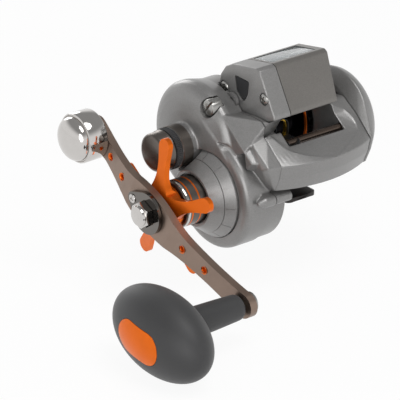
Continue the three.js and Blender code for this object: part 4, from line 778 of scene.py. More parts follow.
class REEL_OT_handle_cover(Piece, bpy.types.Operator):
    """Casts the handle side cover: dome, gear drum, the facet between them, the horn and the front cheek"""
    bl_idname = "reel.handle_cover"
    bl_label = "Handle side cover"

    def build(self, sizes):
        boss = turned([(-29, 0), (-29, 0.7), (-26, 2.1), (-19, 2.1), (-19, 0)], placed(BOSS), 48)
        seam = [(29.2, 34.6), HOOD[2], *HOOD[HOOD_CREASE:], (33, 12)]
        cheek = hull([(-27.3, 34, 30.1), (-27.3, 42.7, 24), (-28, 40.1, 22.7), (-25.6, 39.1, 17.7),
                      (-27, 31, 22), *[(x, f, z) for x in (COVER_INNER, -19) for f, z in seam]])
        step = hull([(-30, 32.6, 27.6), (-30, 36.7, 24.6), (-27, 38.8, 24.4), (-27, 33.6, 28.6),
                     (-29.5, 33, 21), (-24, 36, 19), (-24, 30, 27)])
        forms = [self.dome_and_drum(), hull(HORN), cheek, step, boss,
                 belt([(BOSS, 2.1), (DRIVE, 7)], -26, -19), *on(SPOOL, (-41, -28, 7.7), (-43.6, -28, 5.4))]
        body = skinned(forms, sizes.skin_step, sizes.crisp_passes + 2)
        body = cut(body, block((COVER_INNER, -FAR, -FAR), (FAR, FAR, FAR)), *self.wells())
        body = joined(body, *self.posts())
        piece("handle_cover_shell", body, "silver_flake_enamel", "handle_side_cover", smooth=40)
        band = turned([(-41, 7.75), (-40.8, 8), (-36.6, 8), (-36.6, 7.75)], placed(SPOOL), 128, closed=True)
        piece("cap_seat_band", band, "gunmetal_anodised_aluminium", smooth=50)

    def dome_and_drum(self):
        """The dome over the spool's end runs into the drum over the gears, with a facet in front of both."""
        reach = 21.5
        dome = turned([(-19, 0), (-19, 21.2), (-21.8, 21.2), (-27, 22.4), (-29, 22.4), (-30.4, 21.7),
                       (-31.5, 20.5), (-32.3, 19.2), (-33.1, 17), (-33.6, 14.5), (-34.0, 12), (-34.2, 10),
                       (-34.3, 0)], placed(SPOOL), 160)
        drum = turned([(-19, 0), (-19, reach), (-29.9, reach), (-31, 21.2), (-31.9, 20.4), (-32.4, 19.2),
                       (-32.5, 18), (-32.5, 0)], placed(DRIVE), 160)
        skirt = [(-29.8, DRIVE, 21.2), (COVER_INNER, DRIVE, 21.1), (COVER_INNER, SPOOL, 20.9)]
        valley = [(-33.2, SPOOL, 16), (-25, SPOOL, 18), (-32.3, DRIVE, 18), (-25, DRIVE, 18)]
        facet = self.outwards([(-33.5, 12.5, 35.1), (-32.6, 20.2, 28.9), (-30, 32.8, 27.7),
                               (-31.5, 19.6, 38.2)])
        below = self.outwards([(-32.1, 20.2, 28.7), (-28.4, 32.8, 27.7), (-22, 44, 20), (-22, 40, 8),
                               (-30, 26, 22)])
        recess = cut(below, hull(circles=skirt), rod(-50, -20, reach, placed(DRIVE), 160))
        return cut(joined(dome, drum, hull(circles=skirt), hull(circles=valley)), facet, recess)

    def outwards(self, corners):
        """All that lies on the crank's side of some corners."""
        return hull(corners + [(-45, f, z) for _, f, z in corners])

    def wells(self):
        """Room for the bearings, the gears, the bezel's seat and the cover's screw."""
        seat = cut(rod(-38, -31.4, 17.0, placed(DRIVE), 128), rod(-50, -20, 7.7, placed(SPOOL), 96))
        return [*on(SPOOL, (-30.1, -10, 15.4), (-31.2, -29, 4.6), (-36.7, -30, 4.3), (-45, -30, 2.2),
                    steps=96),
                *on(DRIVE, (-30.1, -10, 19.3), (-34, -29, 4.7), steps=128), seat,
                *on(NOTCH, (-60, -27.3, 3.6), (-60, -10, 1.7))]

    def posts(self):
        """Two posts that carry the clutch's yoke."""
        made = []
        for along, up in circle(8.6, (math.radians(37), math.radians(217))):
            made += on((SPOOL[0] + along, SPOOL[1] + up), (-31, -20, 0.9), (-31, -28.6, 2.3), steps=24)
        return made


class REEL_OT_palm_plate(Piece, bpy.types.Operator):
    """Presses the crowned palm side plate with its bearing boss and brake drum"""
    bl_idname = "reel.palm_plate"
    bl_label = "Palm side plate"

    def build(self, sizes):
        wall = 2.1
        crown = [(24, 0.9), (27, 2), (29, 4), (30.6, 6.6), (31.8, 10)]
        levels = [(x, smooth_at(crown, x)) for x in spread(24, 31.8, 12)]
        shell = self.crowned([(20.9, 0), (21.9, 0)], levels)
        room = self.crowned([(19, wall), (23, wall)], [(28.6, 6.5)])
        body = cut(softened(shell, 0.5, 25), room)
        hub = cut(*on(SPOOL, (22.2, 28.9, 6)), *on(SPOOL, (21, 25.2, 4.3), (21, 26.7, 2.2)))
        body = joined(body, hub, ring(17.4, 28.9, 12, 13.2, placed(SPOOL)))
        piece("palm_plate_shell", body, "silver_flake_enamel", "palm_side_plate", smooth=30)

    def crowned(self, rims, levels):
        """A form whose rim follows the hood in front, given as places across it and how far it is inset."""
        rear, front = 17.8, 20.4
        rim = [(x, f, z) for x, inset in rims for f, z in offset(HOOD, inset)]
        circles = [(x, SPOOL, rear - inset) for x, inset in rims]
        circles += [(x, axis, radius - inset) for x, inset in levels
                    for axis, radius in ((SPOOL, rear), (PALM_FRONT, front))]
        return hull(rim, circles)


class REEL_OT_foot(Piece, bpy.types.Operator):
    """Stamps the arched foot and sets its two rivets"""
    bl_idname = "reel.foot"
    bl_label = "Foot"

    def build(self, sizes):
        rear, front, side, corner = -30, 31, 4.8, 2.2
        bow, bow_start = 1.2, 16
        top, sag, arch = 2.2, 0.6, 0.75
        loops = []
        for f in [rear, -29.8, -29.4, -28.8, -27.8, -16, 0, bow_start, 24, 28.8, 29.8, 30.4, 30.8, front]:
            gap = min(f - rear, front - f)
            half = side + math.sqrt(max(corner ** 2 - max(corner - gap, 0) ** 2, 0.01))
            lag = bow * max(f - bow_start, 0) / (front - bow_start)
            bent = [(x, f - lag * min((x / side) ** 2, 1)) for x in spread(-half, half, 15)]
            loops.append([(x, place, top - sag * (x / (side + corner)) ** 2) for x, place in bent]
                         + [(x, place, arch * (1 - (x / half) ** 2)) for x, place in reversed(bent)])
        rivets = [swung(rod(1.5, 5, 1.5), -math.pi / 2, "Y", at(0, f, 0)) for f in (-9, 19)]
        body = joined(softened(drawn(loops), sizes.fine_edge, 40, 2), *rivets)
        # The foot's dark finish is painted shade, for the shade that the body casts on it
        piece("foot_plate", body, "blackened_stamped_steel", "reel_foot", smooth=40)


class REEL_OT_spool(Piece, bpy.types.Operator):
    """Turns the spool with its rounded flanges and the coloured band on the palm side"""
    bl_idname = "reel.spool"
    bl_label = "Spool"

    def build(self, sizes):
        bore, recess = 4.9, 7.1
        side = [(-12, bore), (-12, 15.2), (-11.7, 15.5), (-11, 15.5), (-10.7, 15.2), (-9.8, 9.6), (-9.2, 8.8),
                (-8.4, 8.6)]
        outer = side + [(-x, radius) for x, radius in reversed(side)]
        body = cut(turned(outer, placed(SPOOL), 128, closed=True), ring(-14, -1, bore, recess, placed(SPOOL)),
                   ring(1, 14, bore, recess, placed(SPOOL)))
        hub = cut(*on(SPOOL, (-12, 12, 5.0)), *on(SPOOL, (-13, 13, 2.0)))
        piece("spool_body", joined(body, hub), "black_anodised_aluminium", "spool", "spool", smooth=30)
        band = ring(10.45, 10.9, 14.2, 15.45, placed(SPOOL))
        piece("spool_band", softened(band, 0.1), "orange_anodised_aluminium", body="spool")


class REEL_OT_line_guide(Piece, bpy.types.Operator):
    """Makes the level wind: worm tube, rail, the travelling guide and its coated ring"""
    bl_idname = "reel.line_guide"
    bl_label = "Level wind"

    def build(self, sizes):
        slot = 1.9
        tube = cut(ring(-13.8, 12.7, 2.4, 3.2, placed(WORM), 64),
                   block((-13, WORM[0] - slot, WORM[1] - 5), (11.3, WORM[0] + slot, WORM[1])))
        piece("worm_tube_body", tube, "moulded_black_plastic", "worm_tube", bevel=0.12)
        rail = turned([(-15.2, 0), (-15.2, 1.1), (-14.9, 1.4), (13.9, 1.4), (14.2, 1.1), (14.2, 0)],
                      placed(RAIL), 64)
        piece("rail_bar", rail, "brown_anodised_rail", "guide_rail")
        low, high = GUIDE_X - 2.6, GUIDE_X + 2.6
        body = joined(belt([(WORM, 4.6), (RAIL, 2.5)], low, high),
                      belt([(WORM, 2.3), (RING, 2.3)], low, high), self.eye(3.0, 1.5))
        pawl_hole = swung(rod(0, 12, 1.3), math.pi / 2, "Y", at(GUIDE_X, *WORM))
        body = cut(body, *on(WORM, (low - 1, high + 1, 3.5)), *on(RAIL, (low - 1, high + 1, 1.5)),
                   self.eye(2.75, 9), pawl_hole)
        piece("guide_carriage", body, "moulded_black_plastic", "line_guide", "line_guide",
              bevel=sizes.fine_edge)
        wire = softened(cut(self.eye(2.55, 0.8), self.eye(2.2, 9)), 0.15, 30, 3)
        piece("guide_eyelet", wire, "gold_hard_coating", "guide_ring", "line_guide")

    def eye(self, radius, depth):
        """A standing oval bar through which the line runs."""
        rise = 1.2
        bar = hull(circles=[(x, (0, z), radius) for x in (-depth, depth) for z in (-rise, rise)], steps=48)
        return swung(bar, math.pi / 2, "Z", at(GUIDE_X, *RING))


class REEL_OT_thumb_bar(Piece, bpy.types.Operator):
    """Moulds the thumb bar with its grip ribs"""
    bl_idname = "reel.thumb_bar"
    bl_label = "Thumb bar"

    def build(self, sizes):
        bar = softened(belt([(THUMB_TOP, 1.2), (THUMB_PIN, 1.6)], -13.8, 12.4, steps=48), 0.4, 50)
        up = Vector((THUMB_TOP[0] - THUMB_PIN[0], THUMB_TOP[1] - THUMB_PIN[1])).normalized()
        lean = Matrix.Translation(at(0, *THUMB_PIN)) @ Matrix.Rotation(math.atan2(up.x, up.y), 4, "X")
        grooves = [block((x - 0.3, -2.1, -2.2), (x + 0.3, -1.2, 4.4), lean) for x in spread(-11, 9.6, 9)]
        body = joined(cut(bar, *grooves), *on(THUMB_PIN, (-15.5, 14.1, 0.9), steps=32))
        piece("thumb_bar_body", body, "moulded_black_plastic", "thumb_bar", "thumb_bar", bevel=0.12)


def screw_head(x, axis, radius, height, depth):
    """A domed screw head with a cross recess, its crown towards the crank side."""
    crown = [(x, 0), (x, radius * 0.35), (x + height * 0.18, radius * 0.72),
             (x + height * 0.5, radius * 0.95), (x + height * 0.75, radius), (x + height, radius),
             (x + height, 0)]
    reach, half = radius * 0.6, radius * 0.13
    bars = [block((x - 1, -reach, -half), (x + depth, reach, half),
                  placed(axis) @ Matrix.Rotation(math.radians(turn), 4, "X")) for turn in (20, 110)]
    return cut(turned(crown, placed(axis), 48), *bars)


class REEL_OT_counter(Piece, bpy.types.Operator):
    """Moulds the line counter: housing with its sloped end, end cap, reset button and screws"""
    bl_idname = "reel.counter"
    bl_label = "Line counter"

    def build(self, sizes):
        hollow = filleted(closed_offset(COUNTER, -COUNTER_WALL), 1.0)
        piece("counter_case", self.housing(hollow), "warm_flake_enamel", "counter_housing", bevel=0.12)
        hole = [(15.2, 49.4), (22.6, 49.2), (22, 44.4), (20, 41), (16.2, 44)]
        opening = filleted(closed_offset(hole, -0.35), [0.9, 0.9, 2.9, 2.4, 2.9])
        piece("counter_cap", self.end_cap(hollow, opening), "silver_flake_enamel", "counter_end_cap",
              bevel=0.12)
        button = [Vector(point) for point in filleted(hole, [0.8, 0.8, 2.6, 2.2, 2.6])]
        middle = sum(button, Vector((0, 0))) / len(button)
        flange = [middle + (point - middle) * 1.16 for point in button]
        face = joined(plate(button, -19.8, -18.3), plate(flange, -18.6, -18.3))
        piece("reset_button_face", face, "moulded_black_plastic", "reset_button", "reset_button", bevel=0.1)
        for name, axis in (("counter_screw_rear", REAR_SCREW), ("counter_screw_front", FRONT_SCREW)):
            head = joined(screw_head(-20.4, axis, 2.1, 1.0, 0.5), *on(axis, (-19.6, -11.6, 0.9)))
            piece(name + "_head", head, "turned_stainless_steel", name, bevel=0.06)

    def housing(self, hollow):
        left, right = -12.2, 12
        case = self.sloped(plate(filleted(COUNTER, COUNTER_CORNER), left, right))
        case = cut(case, *on(SPOOL, (-16, 30, SPOOL_ROOM), steps=128))
        rim = [e for e in sharp_edges(case, 40) if all(v.co.x > 5 for v in e.verts)]
        room = cut(self.sloped(plate(hollow, -10.9, 10.4)),
                   *on(SPOOL, (-16, 30, SPOOL_ROOM + COUNTER_WALL), steps=96))
        case = cut(bevelled(case, rim, 1.3, 5), room)
        case = joined(case, *at_screws(left, -10.6, 1.9), *on(COUNTER_IDLER, (-17.3, -10.9, 1.2)))
        return cut(case, *at_screws(-13, -11.3, 1.2), block((-11, 14.4, WHEELS[1]), (9.2, 25.4, FAR)),
                   *on(WHEELS, (-14, 9.3, 1.1)))

    def sloped(self, form):
        """Leans a solid's far end, so that it overhangs at the top."""
        lean, top, bottom = 3.4, 55.9, 34.7
        for vert in form.verts:
            if vert.co.x > 5:
                vert.co.x -= lean * (top - vert.co.z) / (top - bottom)
        return form

    def end_cap(self, hollow, opening):
        left, right = -20, -12.5
        cap = plate(filleted(COUNTER, COUNTER_CORNER), left, right)
        rim = [e for e in cap.edges if all(v.co.x < left + 0.1 for v in e.verts)]
        cap = cut(bevelled(cap, rim, 1.25, 3), plate(hollow, -18.8, -11))
        cap = joined(cap, *at_screws(-19.4, -12.8, 1.9))
        idler = gear_room(24)
        idler_room = block((-17.9, COUNTER_IDLER[0] - idler, 30), (-11, COUNTER_IDLER[0] + idler, 43))
        return cut(cap, *at_screws(-25, -19.25, 2.4), plate(opening, -21, right), *at_screws(-21, -12, 1.2),
                   *on(WHEELS, (-18.9, -11, gear_room(16))), idler_room)


class REEL_OT_counter_face(Piece, bpy.types.Operator):
    """Sets the window's frame and pane, and the number wheels with their printed digits"""
    bl_idname = "reel.counter_face"
    bl_label = "Counter window and wheels"

    def build(self, sizes):
        (front, front_top), (rear, rear_top) = COUNTER[7:9]
        rise = (front_top - rear_top) / (front - rear)
        middle = at(0, 18.8, rear_top + (18.8 - rear) * rise)
        tilt = Matrix.Translation(middle) @ Matrix.Rotation(-math.atan(rise), 4, "X")
        pane = softened(block((-10.7, -4.1, -1.35), (8.9, 6.4, -0.12), tilt), 0.15)
        piece("window_pane", pane, "clear_moulded_pane", "counter_window")
        border = cut(block((-11.1, -4.5, -0.5), (9.2, 6.7, -0.02), tilt),
                     block((-10.8, -4.2, -2), (9.0, 6.5, 1), tilt))
        piece("window_frame", border, "moulded_black_plastic", bevel=0.08)
        for name, x in (("hundreds_wheel", -9.4), ("tens_wheel", -3.9), ("units_wheel", 1.6)):
            rim = [(x, 0), (x, 5.1), (x + 0.2, 5.3), (x + 4.8, 5.3), (x + 5, 5.1), (x + 5, 0)]
            drum = cut(turned(rim, placed(WHEELS), 80), *on(WHEELS, (x - 1, x + 6, 1.1)))
            piece(name + "_drum", drum, "moulded_black_plastic", name, name)
            piece(name + "_digits", self.digits(x + 2.5), "printed_white_ink", body=name)

    def digits(self, x):
        """Ten plain digits round a wheel, raised by a hair."""
        size, relief, radius = 3.4, 0.03, 5.32
        whole = bmesh.new()
        for digit in range(10):
            text = bpy.data.curves.new("digit", "FONT")
            text.body = str(digit)
            text.size = size
            text.extrude = relief
            text.align_x = "CENTER"
            text.align_y = "CENTER"
            holder = bpy.data.objects.new("digit", text)
            mesh = bpy.data.meshes.new_from_object(holder)
            turn = Matrix.Rotation(-math.radians(digit * 36), 4, "X")
            mesh.transform(placed(WHEELS) @ turn @ Matrix.Translation((x, 0, radius)))
            whole.from_mesh(mesh)
            bpy.data.meshes.remove(mesh)
            bpy.data.objects.remove(holder)
            bpy.data.curves.remove(text)
        bmesh.ops.remove_doubles(whole, verts=whole.verts, dist=0.001)
        return settled(whole)


class REEL_OT_drag(Piece, bpy.types.Operator):
    """Turns the drag bezel with its scored ticks, the striped collar and the star wheel"""
    bl_idname = "reel.drag"
    bl_label = "Drag bezel, collar and star"

    def build(self, sizes):
        self.bezel(sizes)
        self.collar(sizes.stripe / 2)
        self.star()

    def bezel(self, sizes):
        profile = [(-41, 10.3), (-40.9, 10.7), (-36.7, 13.8), (-36.3, 14.1), (-33.7, 16.3), (-33.3, 16.6),
                   (-31.7, 16.6), (-31.7, 8.3), (-38.6, 8.3), (-38.6, 9.5), (-40.8, 9.5)]
        body = turned(profile, placed(DRIVE), 160, closed=True)
        half, first = sizes.score / 2, 28
        lean = Matrix.Translation((-36.45, -14, 0)) @ Matrix.Rotation(math.radians(50), 4, "Z")
        scores = [ring(-36.75, -36.55, 13.5, 15, placed(DRIVE), 160)]
        for i in range(sizes.tick_count):
            spin = placed(DRIVE) @ Matrix.Rotation(-math.radians(first + 360 / sizes.tick_count * i), 4, "X")
            scores.append(block((-0.25, -half, -half), (0.25, 3.6, half), spin @ lean))
        body = cut(body, *scores, *on(SPOOL, (-42.5, -30, 9.1)))
        piece("drag_bezel_ring", body, "silver_flake_enamel", "drag_bezel", smooth=25)

    def collar(self, half_stripe):
        outer, inner, groove, half_groove = 8.9, 8.6, (-47.2, -43.6), 0.35
        profile = [(-49.9, 5.9), (-49.9, inner), (-49.6, outer)]
        for x in groove:
            profile += [(x - half_groove, outer), (x - half_groove, inner), (x + half_groove, inner),
                        (x + half_groove, outer)]
        profile += [(-39.2, outer), (-39, 8.7), (-39, 7.4), (-48.4, 7.4), (-48.4, 5.9)]
        body = turned(profile, placed(DRIVE), 128, closed=True)
        piece("drag_collar_body", body, "gunmetal_anodised_aluminium", "drag_collar", "crank", smooth=30)
        for name, x in zip(("drag_stripe_outer", "drag_stripe_inner"), groove):
            stripe = ring(x - half_stripe, x + half_stripe, 8.5, 8.87, placed(DRIVE), 128)
            piece(name, stripe, "orange_anodised_aluminium", body="crank")
        lip = turned([(-49.95, 7.6), (-49.75, 8.2), (-49.1, 8.95), (-48.2, 8.98), (-48.0, 8.7), (-48.0, 7.6)],
                     placed(DRIVE), 128, closed=True)
        piece("drag_collar_lip", lip, "polished_chrome_plate", body="crank", smooth=50)

    def star(self):
        """Five arms with round tips, dished towards the crank."""
        tip_place, tip = 23.4, 2.8
        widths = [(6.8, 4.7), (8, 4.3), (10, 3.25), (12, 2.55), (14.5, 2.15), (17.5, 2.15), (20.5, 2.5),
                  (tip_place, tip)]
        half = [(reach, smooth_at(widths, reach)) for reach in spread(6.8, 23, 20)]
        half += [(tip_place + tip * math.sin(t), tip * math.cos(t)) for t in spread(0.05, math.pi / 2, 10)]
        arm = [(reach, -wide) for reach, wide in half]
        arm += [(reach, wide) for reach, wide in reversed(half[:-1])]
        arms, first = 5, 20.5
        outline = []
        for i in range(arms):
            turn = Matrix.Rotation(math.radians(first + 360 / arms * i), 2)
            outline += [tuple(turn @ Vector(point)) for point in arm]
        front = [(-57, 0), (-57, 4.6), (-56.3, 7.4), (-55.6, 9.8), (-54.9, 12.4), (-53.8, 17.5),
                 (-52.8, tip_place), (-52.4, 26.6)]
        back = [(-50.5, 26.6), (-50.7, tip_place), (-51.7, 17.5), (-52.7, 12), (-52.9, 9), (-50.6, 7.9),
                (-50.6, 0)]
        web = kept(plate(outline, -60, -50, placed(DRIVE)), turned(front + back, placed(DRIVE), 96))
        body = cut(web, *on(DRIVE, (-60, -48, 2.7)))
        piece("star_wheel", body, "orange_anodised_aluminium", "star_drag", "star", smooth=28, bevel=0.5)


class REEL_OT_crank(Piece, bpy.types.Operator):
    """Stamps the crank arm with its bright edges and rimmed holes, and sets the nut, retainer and screw"""
    bl_idname = "reel.crank"
    bl_label = "Crank arm"

    def build(self, sizes):
        line = placed(DRIVE, CRANK_SLOPE)
        lug, lug_hole, nut_hole = -8.2, 1.0, 2.7
        # The arm's face, as (place along it, x): it steps back from the nut towards both ends
        front = [(-50, -56.7), (-36, -56.7), (-31, -57.2), (-17, -59.9), (-12, -60.5), (12, -60.5),
                 (18, -59.8), (46, -55.6), (51, -55), (60, -54)]
        side = filleted(front + [(place, x + 3) for place, x in reversed(front)], 3.0, 4)
        sheet = thickened([at(x, place, -9) for place, x in side], (0, 0, 18), line)
        arm = kept(plate(self.outline(), -90, -40, line), sheet)
        lightened = (-28.5, -18.5, 19.5, 31)
        holes = [(place, 1.3) for place in lightened]
        holes += [(0, nut_hole), (lug, lug_hole), (WEIGHT_REACH, 2.1), (KNOB_REACH, 2.3)]
        arm = cut(arm, *[rod(-70, -48, radius, placed(DRIVE, CRANK_SLOPE, place), 40)
                         for place, radius in holes])
        piece("crank_arm_plate", arm, "bronze_anodised_aluminium", "crank_arm", "crank", smooth=24,
              bevel=0.42)
        for letter, place in zip("abcd", lightened):
            x = smooth_at(front, place)
            profile = [(-0.06, 1.75), (-0.1, 1.6), (0.35, 1.12), (2.7, 1.12), (2.95, 1.5), (2.6, 1.32),
                       (0.5, 1.32)]
            rim = turned([(x + depth, radius) for depth, radius in profile],
                         placed(DRIVE, CRANK_SLOPE, place), 40, closed=True)
            piece("crank_hole_rim_" + letter, rim, "orange_anodised_aluminium", body="crank", smooth=60)
        self.nut(line, nut_hole)
        self.retainer(line, lug, lug_hole)

    def outline(self):
        """The arm's plan, as (place along it, half its width) round both ends."""
        tail, head = 6.2, 5
        widths = [(WEIGHT_REACH, tail), (-35, 4.5), (-29, 4.0), (-18, 5.0), (-8, 7.2), (0, 7.9), (8, 7.2),
                  (19, 4.9), (31, 4.1), (42, 4.2), (47, 4.5), (KNOB_REACH, head)]
        turns = spread(0.12, math.pi / 2, 14)
        upper = [(WEIGHT_REACH - tail * math.sin(t), tail * math.cos(t)) for t in reversed(turns)]
        upper += [(place, smooth_at(widths, place)) for place in spread(-40.5, 49.6, 70)]
        upper += [(KNOB_REACH + head * math.sin(t), head * math.cos(t)) for t in turns]
        return upper + [(place, -half) for place, half in reversed(upper[1:-1])]

    def hexagon(self, radius):
        return circle(radius, [math.radians(60 * i) for i in range(6)])

    def nut(self, line, hole):
        inner, outer = -60.8, -65
        crown = turned([(outer, 0), (outer, 4.4), (-64.4, 5.15), (inner, 5.15), (inner, 0)], line, 64)
        tip = turned([(-66.2, 0), (-66.2, 2.9), (-65.9, 3.6), (-65.3, 3.9), (-64.5, 3.9), (-64.5, 0)],
                     line, 64)
        body = joined(kept(plate(self.hexagon(5.1), -66, inner, line), crown), tip)
        body = cut(body, rod(-64.3, -60, hole, line))
        piece("crank_nut", body, "polished_chrome_plate", "handle_nut", "crank", bevel=0.25)

    def retainer(self, line, lug, hole):
        """The plate that keeps the nut from turning, and its screw."""
        base = cut(belt([((0, 0), 7.9), ((lug, 0), 2.6)], -62.1, -60.8, line),
                   plate(self.hexagon(5.4), -63, -60, line),
                   rod(-63, -60, hole, placed(DRIVE, CRANK_SLOPE, lug)))
        piece("nut_retainer_plate", base, "smoked_chrome_plate", "nut_retainer", "crank", bevel=0.25)
        slope = math.radians(CRANK_SLOPE)
        spot = DRIVE[0] + lug * math.cos(slope), DRIVE[1] - lug * math.sin(slope)
        head = joined(screw_head(-62.8, spot, 1.7, 0.6, 0.35), *on(spot, (-62.4, -57.5, 0.7), steps=24))
        piece("nut_retainer_screw", head, "polished_chrome_plate", "retainer_screw", "crank", bevel=0.06)


class REEL_OT_counterweight(Piece, bpy.types.Operator):
    """Turns the domed counterweight"""
    bl_idname = "reel.counterweight"
    bl_label = "Counterweight"

    def build(self, sizes):
        dome = [(-65.6 - 4.5 * math.cos(t), 8.3 * math.sin(t)) for t in spread(0, math.pi / 2, 16)]
        rim = [(-64.9, 8.35), (-64.8, 8.6), (-65.1, 8.9), (-64.95, 9.25), (-64.5, 9.5), (-57.6, 9.5),
               (-57.2, 9.35), (-57, 9.0), (-57, 1.8), (-53.9, 1.8), (-53.9, 0)]
        body = turned(dome + rim, placed(DRIVE, CRANK_SLOPE, WEIGHT_REACH), 128)
        piece("counterweight_body", body, "polished_chrome_plate", "counterweight", "crank", smooth=32)


class REEL_OT_knob(Piece, bpy.types.Operator):
    """Moulds the soft egg-shaped knob on its stem, with the inlay and the spindle"""
    bl_idname = "reel.knob"
    bl_label = "Knob"

    def build(self, sizes):
        line = placed(DRIVE, CRANK_SLOPE, KNOB_REACH)
        egg_line = line @ Matrix.Rotation(math.radians(-KNOB_TURN), 4, "X")
        stem = turned([(-86, 0), (-86, 8.6), (-84, 8.2), (-80.5, 6.3), (-77, 5.6), (-66, 5.2), (-57.4, 4.8),
                       (-56.5, 4.4), (-56.2, 4.0), (-56.2, 0)], line, 96)
        body = skinned([self.egg(egg_line, 0), stem], sizes.skin_step * 1.2, 16)
        body = cut(body, self.pill(egg_line, 6.4, -100.4), rod(-103, -50, 3.4, line))
        piece("knob_grip", body, "soft_touch_rubber", "knob", "knob", smooth=50)
        inlay = softened(kept(self.pill(egg_line, 6.25, -100.6), self.egg(egg_line, 0.02)), 0.35, 45, 4)
        piece("knob_badge", inlay, "orange_anodised_aluminium", "knob_inlay", "knob", smooth=60)
        spindle = turned([(-93.3, 0), (-93.3, 3.1), (-92, 3.1), (-92, 2), (-51.6, 2), (-51.6, 3.5),
                          (-51.3, 3.9), (-50.4, 3.9), (-50, 3.4), (-50, 0)], line, 48)
        piece("knob_spindle_pin", spindle, "turned_stainless_steel", "knob_spindle", "crank", smooth=32)

    def egg(self, line, grow):
        """The grip's form, flatter along its spindle than across."""
        middle = Matrix.Translation((-90, 0, 0))
        radii = Matrix.Diagonal((12.58 + grow, 24 + grow, 15.5 + grow, 1))
        form = bmesh.new()
        bmesh.ops.create_uvsphere(form, u_segments=96, v_segments=64, radius=1,
                                  matrix=line @ middle @ radii)
        return settled(form)

    def pill(self, line, radius, floor):
        """The inlay's outline, from beyond the knob's crown down to a floor."""
        reach = 4.5
        return belt([((-reach, 0), radius), ((reach, 0), radius)], -120, floor, line, 64)


class REEL_OT_cast_cap(Piece, bpy.types.Operator):
    """Turns the cast control cap and knurls its grip ring"""
    bl_idname = "reel.cast_cap"
    bl_label = "Cast control cap"

    def build(self, sizes):
        line = placed(SPOOL)
        cap = turned([(-49.7, 0), (-49.7, 5.6), (-49.5, 6.4), (-49, 7), (-48.3, 7.25), (-45.6, 7.25),
                      (-45.2, 7.5), (-44.4, 7.6), (-44, 7.3), (-44, 6.6), (-41.3, 6.6), (-41.3, 5.7),
                      (-45.6, 5.7), (-45.6, 0)], line, 128)
        piece("cast_cap_body", cap, "gunmetal_anodised_aluminium", "cast_control_cap", "cast_cap", smooth=32)
        low, high = -43.7, -41.3
        teeth = []
        for i in range(2 * sizes.knurl_count):
            teeth += circle(7.8 if i % 2 else 7.45, [math.pi * i / sizes.knurl_count])
        bevel = turned([(low, 0), (low, 7.5), (-43.4, 7.85), (-41.6, 7.85), (high, 7.5), (high, 0)], line, 96)
        grip = cut(kept(plate(teeth, low, high, line), bevel), rod(-45, -40, 6.9, line))
        piece("cap_grip_knurl", grip, "soft_touch_rubber", "cap_grip_ring", "cast_cap", smooth=25)


class REEL_OT_notch_screw(Piece, bpy.types.Operator):
    """Turns the slotted screw that holds the handle cover at its rim"""
    bl_idname = "reel.notch_screw"
    bl_label = "Cover screw"

    def build(self, sizes):
        head = turned([(-32.3, 0), (-32.3, 2.3), (-32, 2.9), (-31.5, 3.2), (-27.6, 3.2), (-27.6, 1.4),
                       (-20.7, 1.4), (-20.7, 0)], placed(NOTCH), 64)
        turn = Matrix.Rotation(math.radians(35), 4, "X")
        slot = block((-34, -0.4, -4), (-31.5, 0.4, 4), placed(NOTCH) @ turn)
        piece("cover_screw_head", cut(head, slot), "turned_stainless_steel", "side_cover_screw", smooth=32,
              bevel=0.08)


class REEL_OT_inner_works(Piece, bpy.types.Operator):
    """Gives the parts that run inside the housing their metals and plastics"""
    bl_idname = "reel.inner_works"
    bl_label = "Inner works"

    def build(self, sizes):
        looks = {
            "turned_stainless_steel": "spool_shaft spool_bearing_handle spool_bearing_palm main_shaft "
                                      "ratchet main_shaft_bearing anti_reverse_dog drag_washer_metal "
                                      "drag_sleeve drag_spring_washer roller_clutch worm_shaft pawl "
                                      "yoke_spring_upper "
                                      "yoke_spring_lower reset_spring counter_shaft",
            "cut_brass": "drive_gear pinion_gear knob_bushing_inner knob_bushing_outer",
            "moulded_black_plastic": "brake_hub clutch_yoke",
            "moulded_white_nylon": "levelwind_idler counter_idler",
            "woven_carbon_fibre": "drag_washer_carbon",
        }
        for look, names in looks.items():
            for name in names.split():
                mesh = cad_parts[name].data
                mesh.materials.clear()
                mesh.materials.append(finish(look))


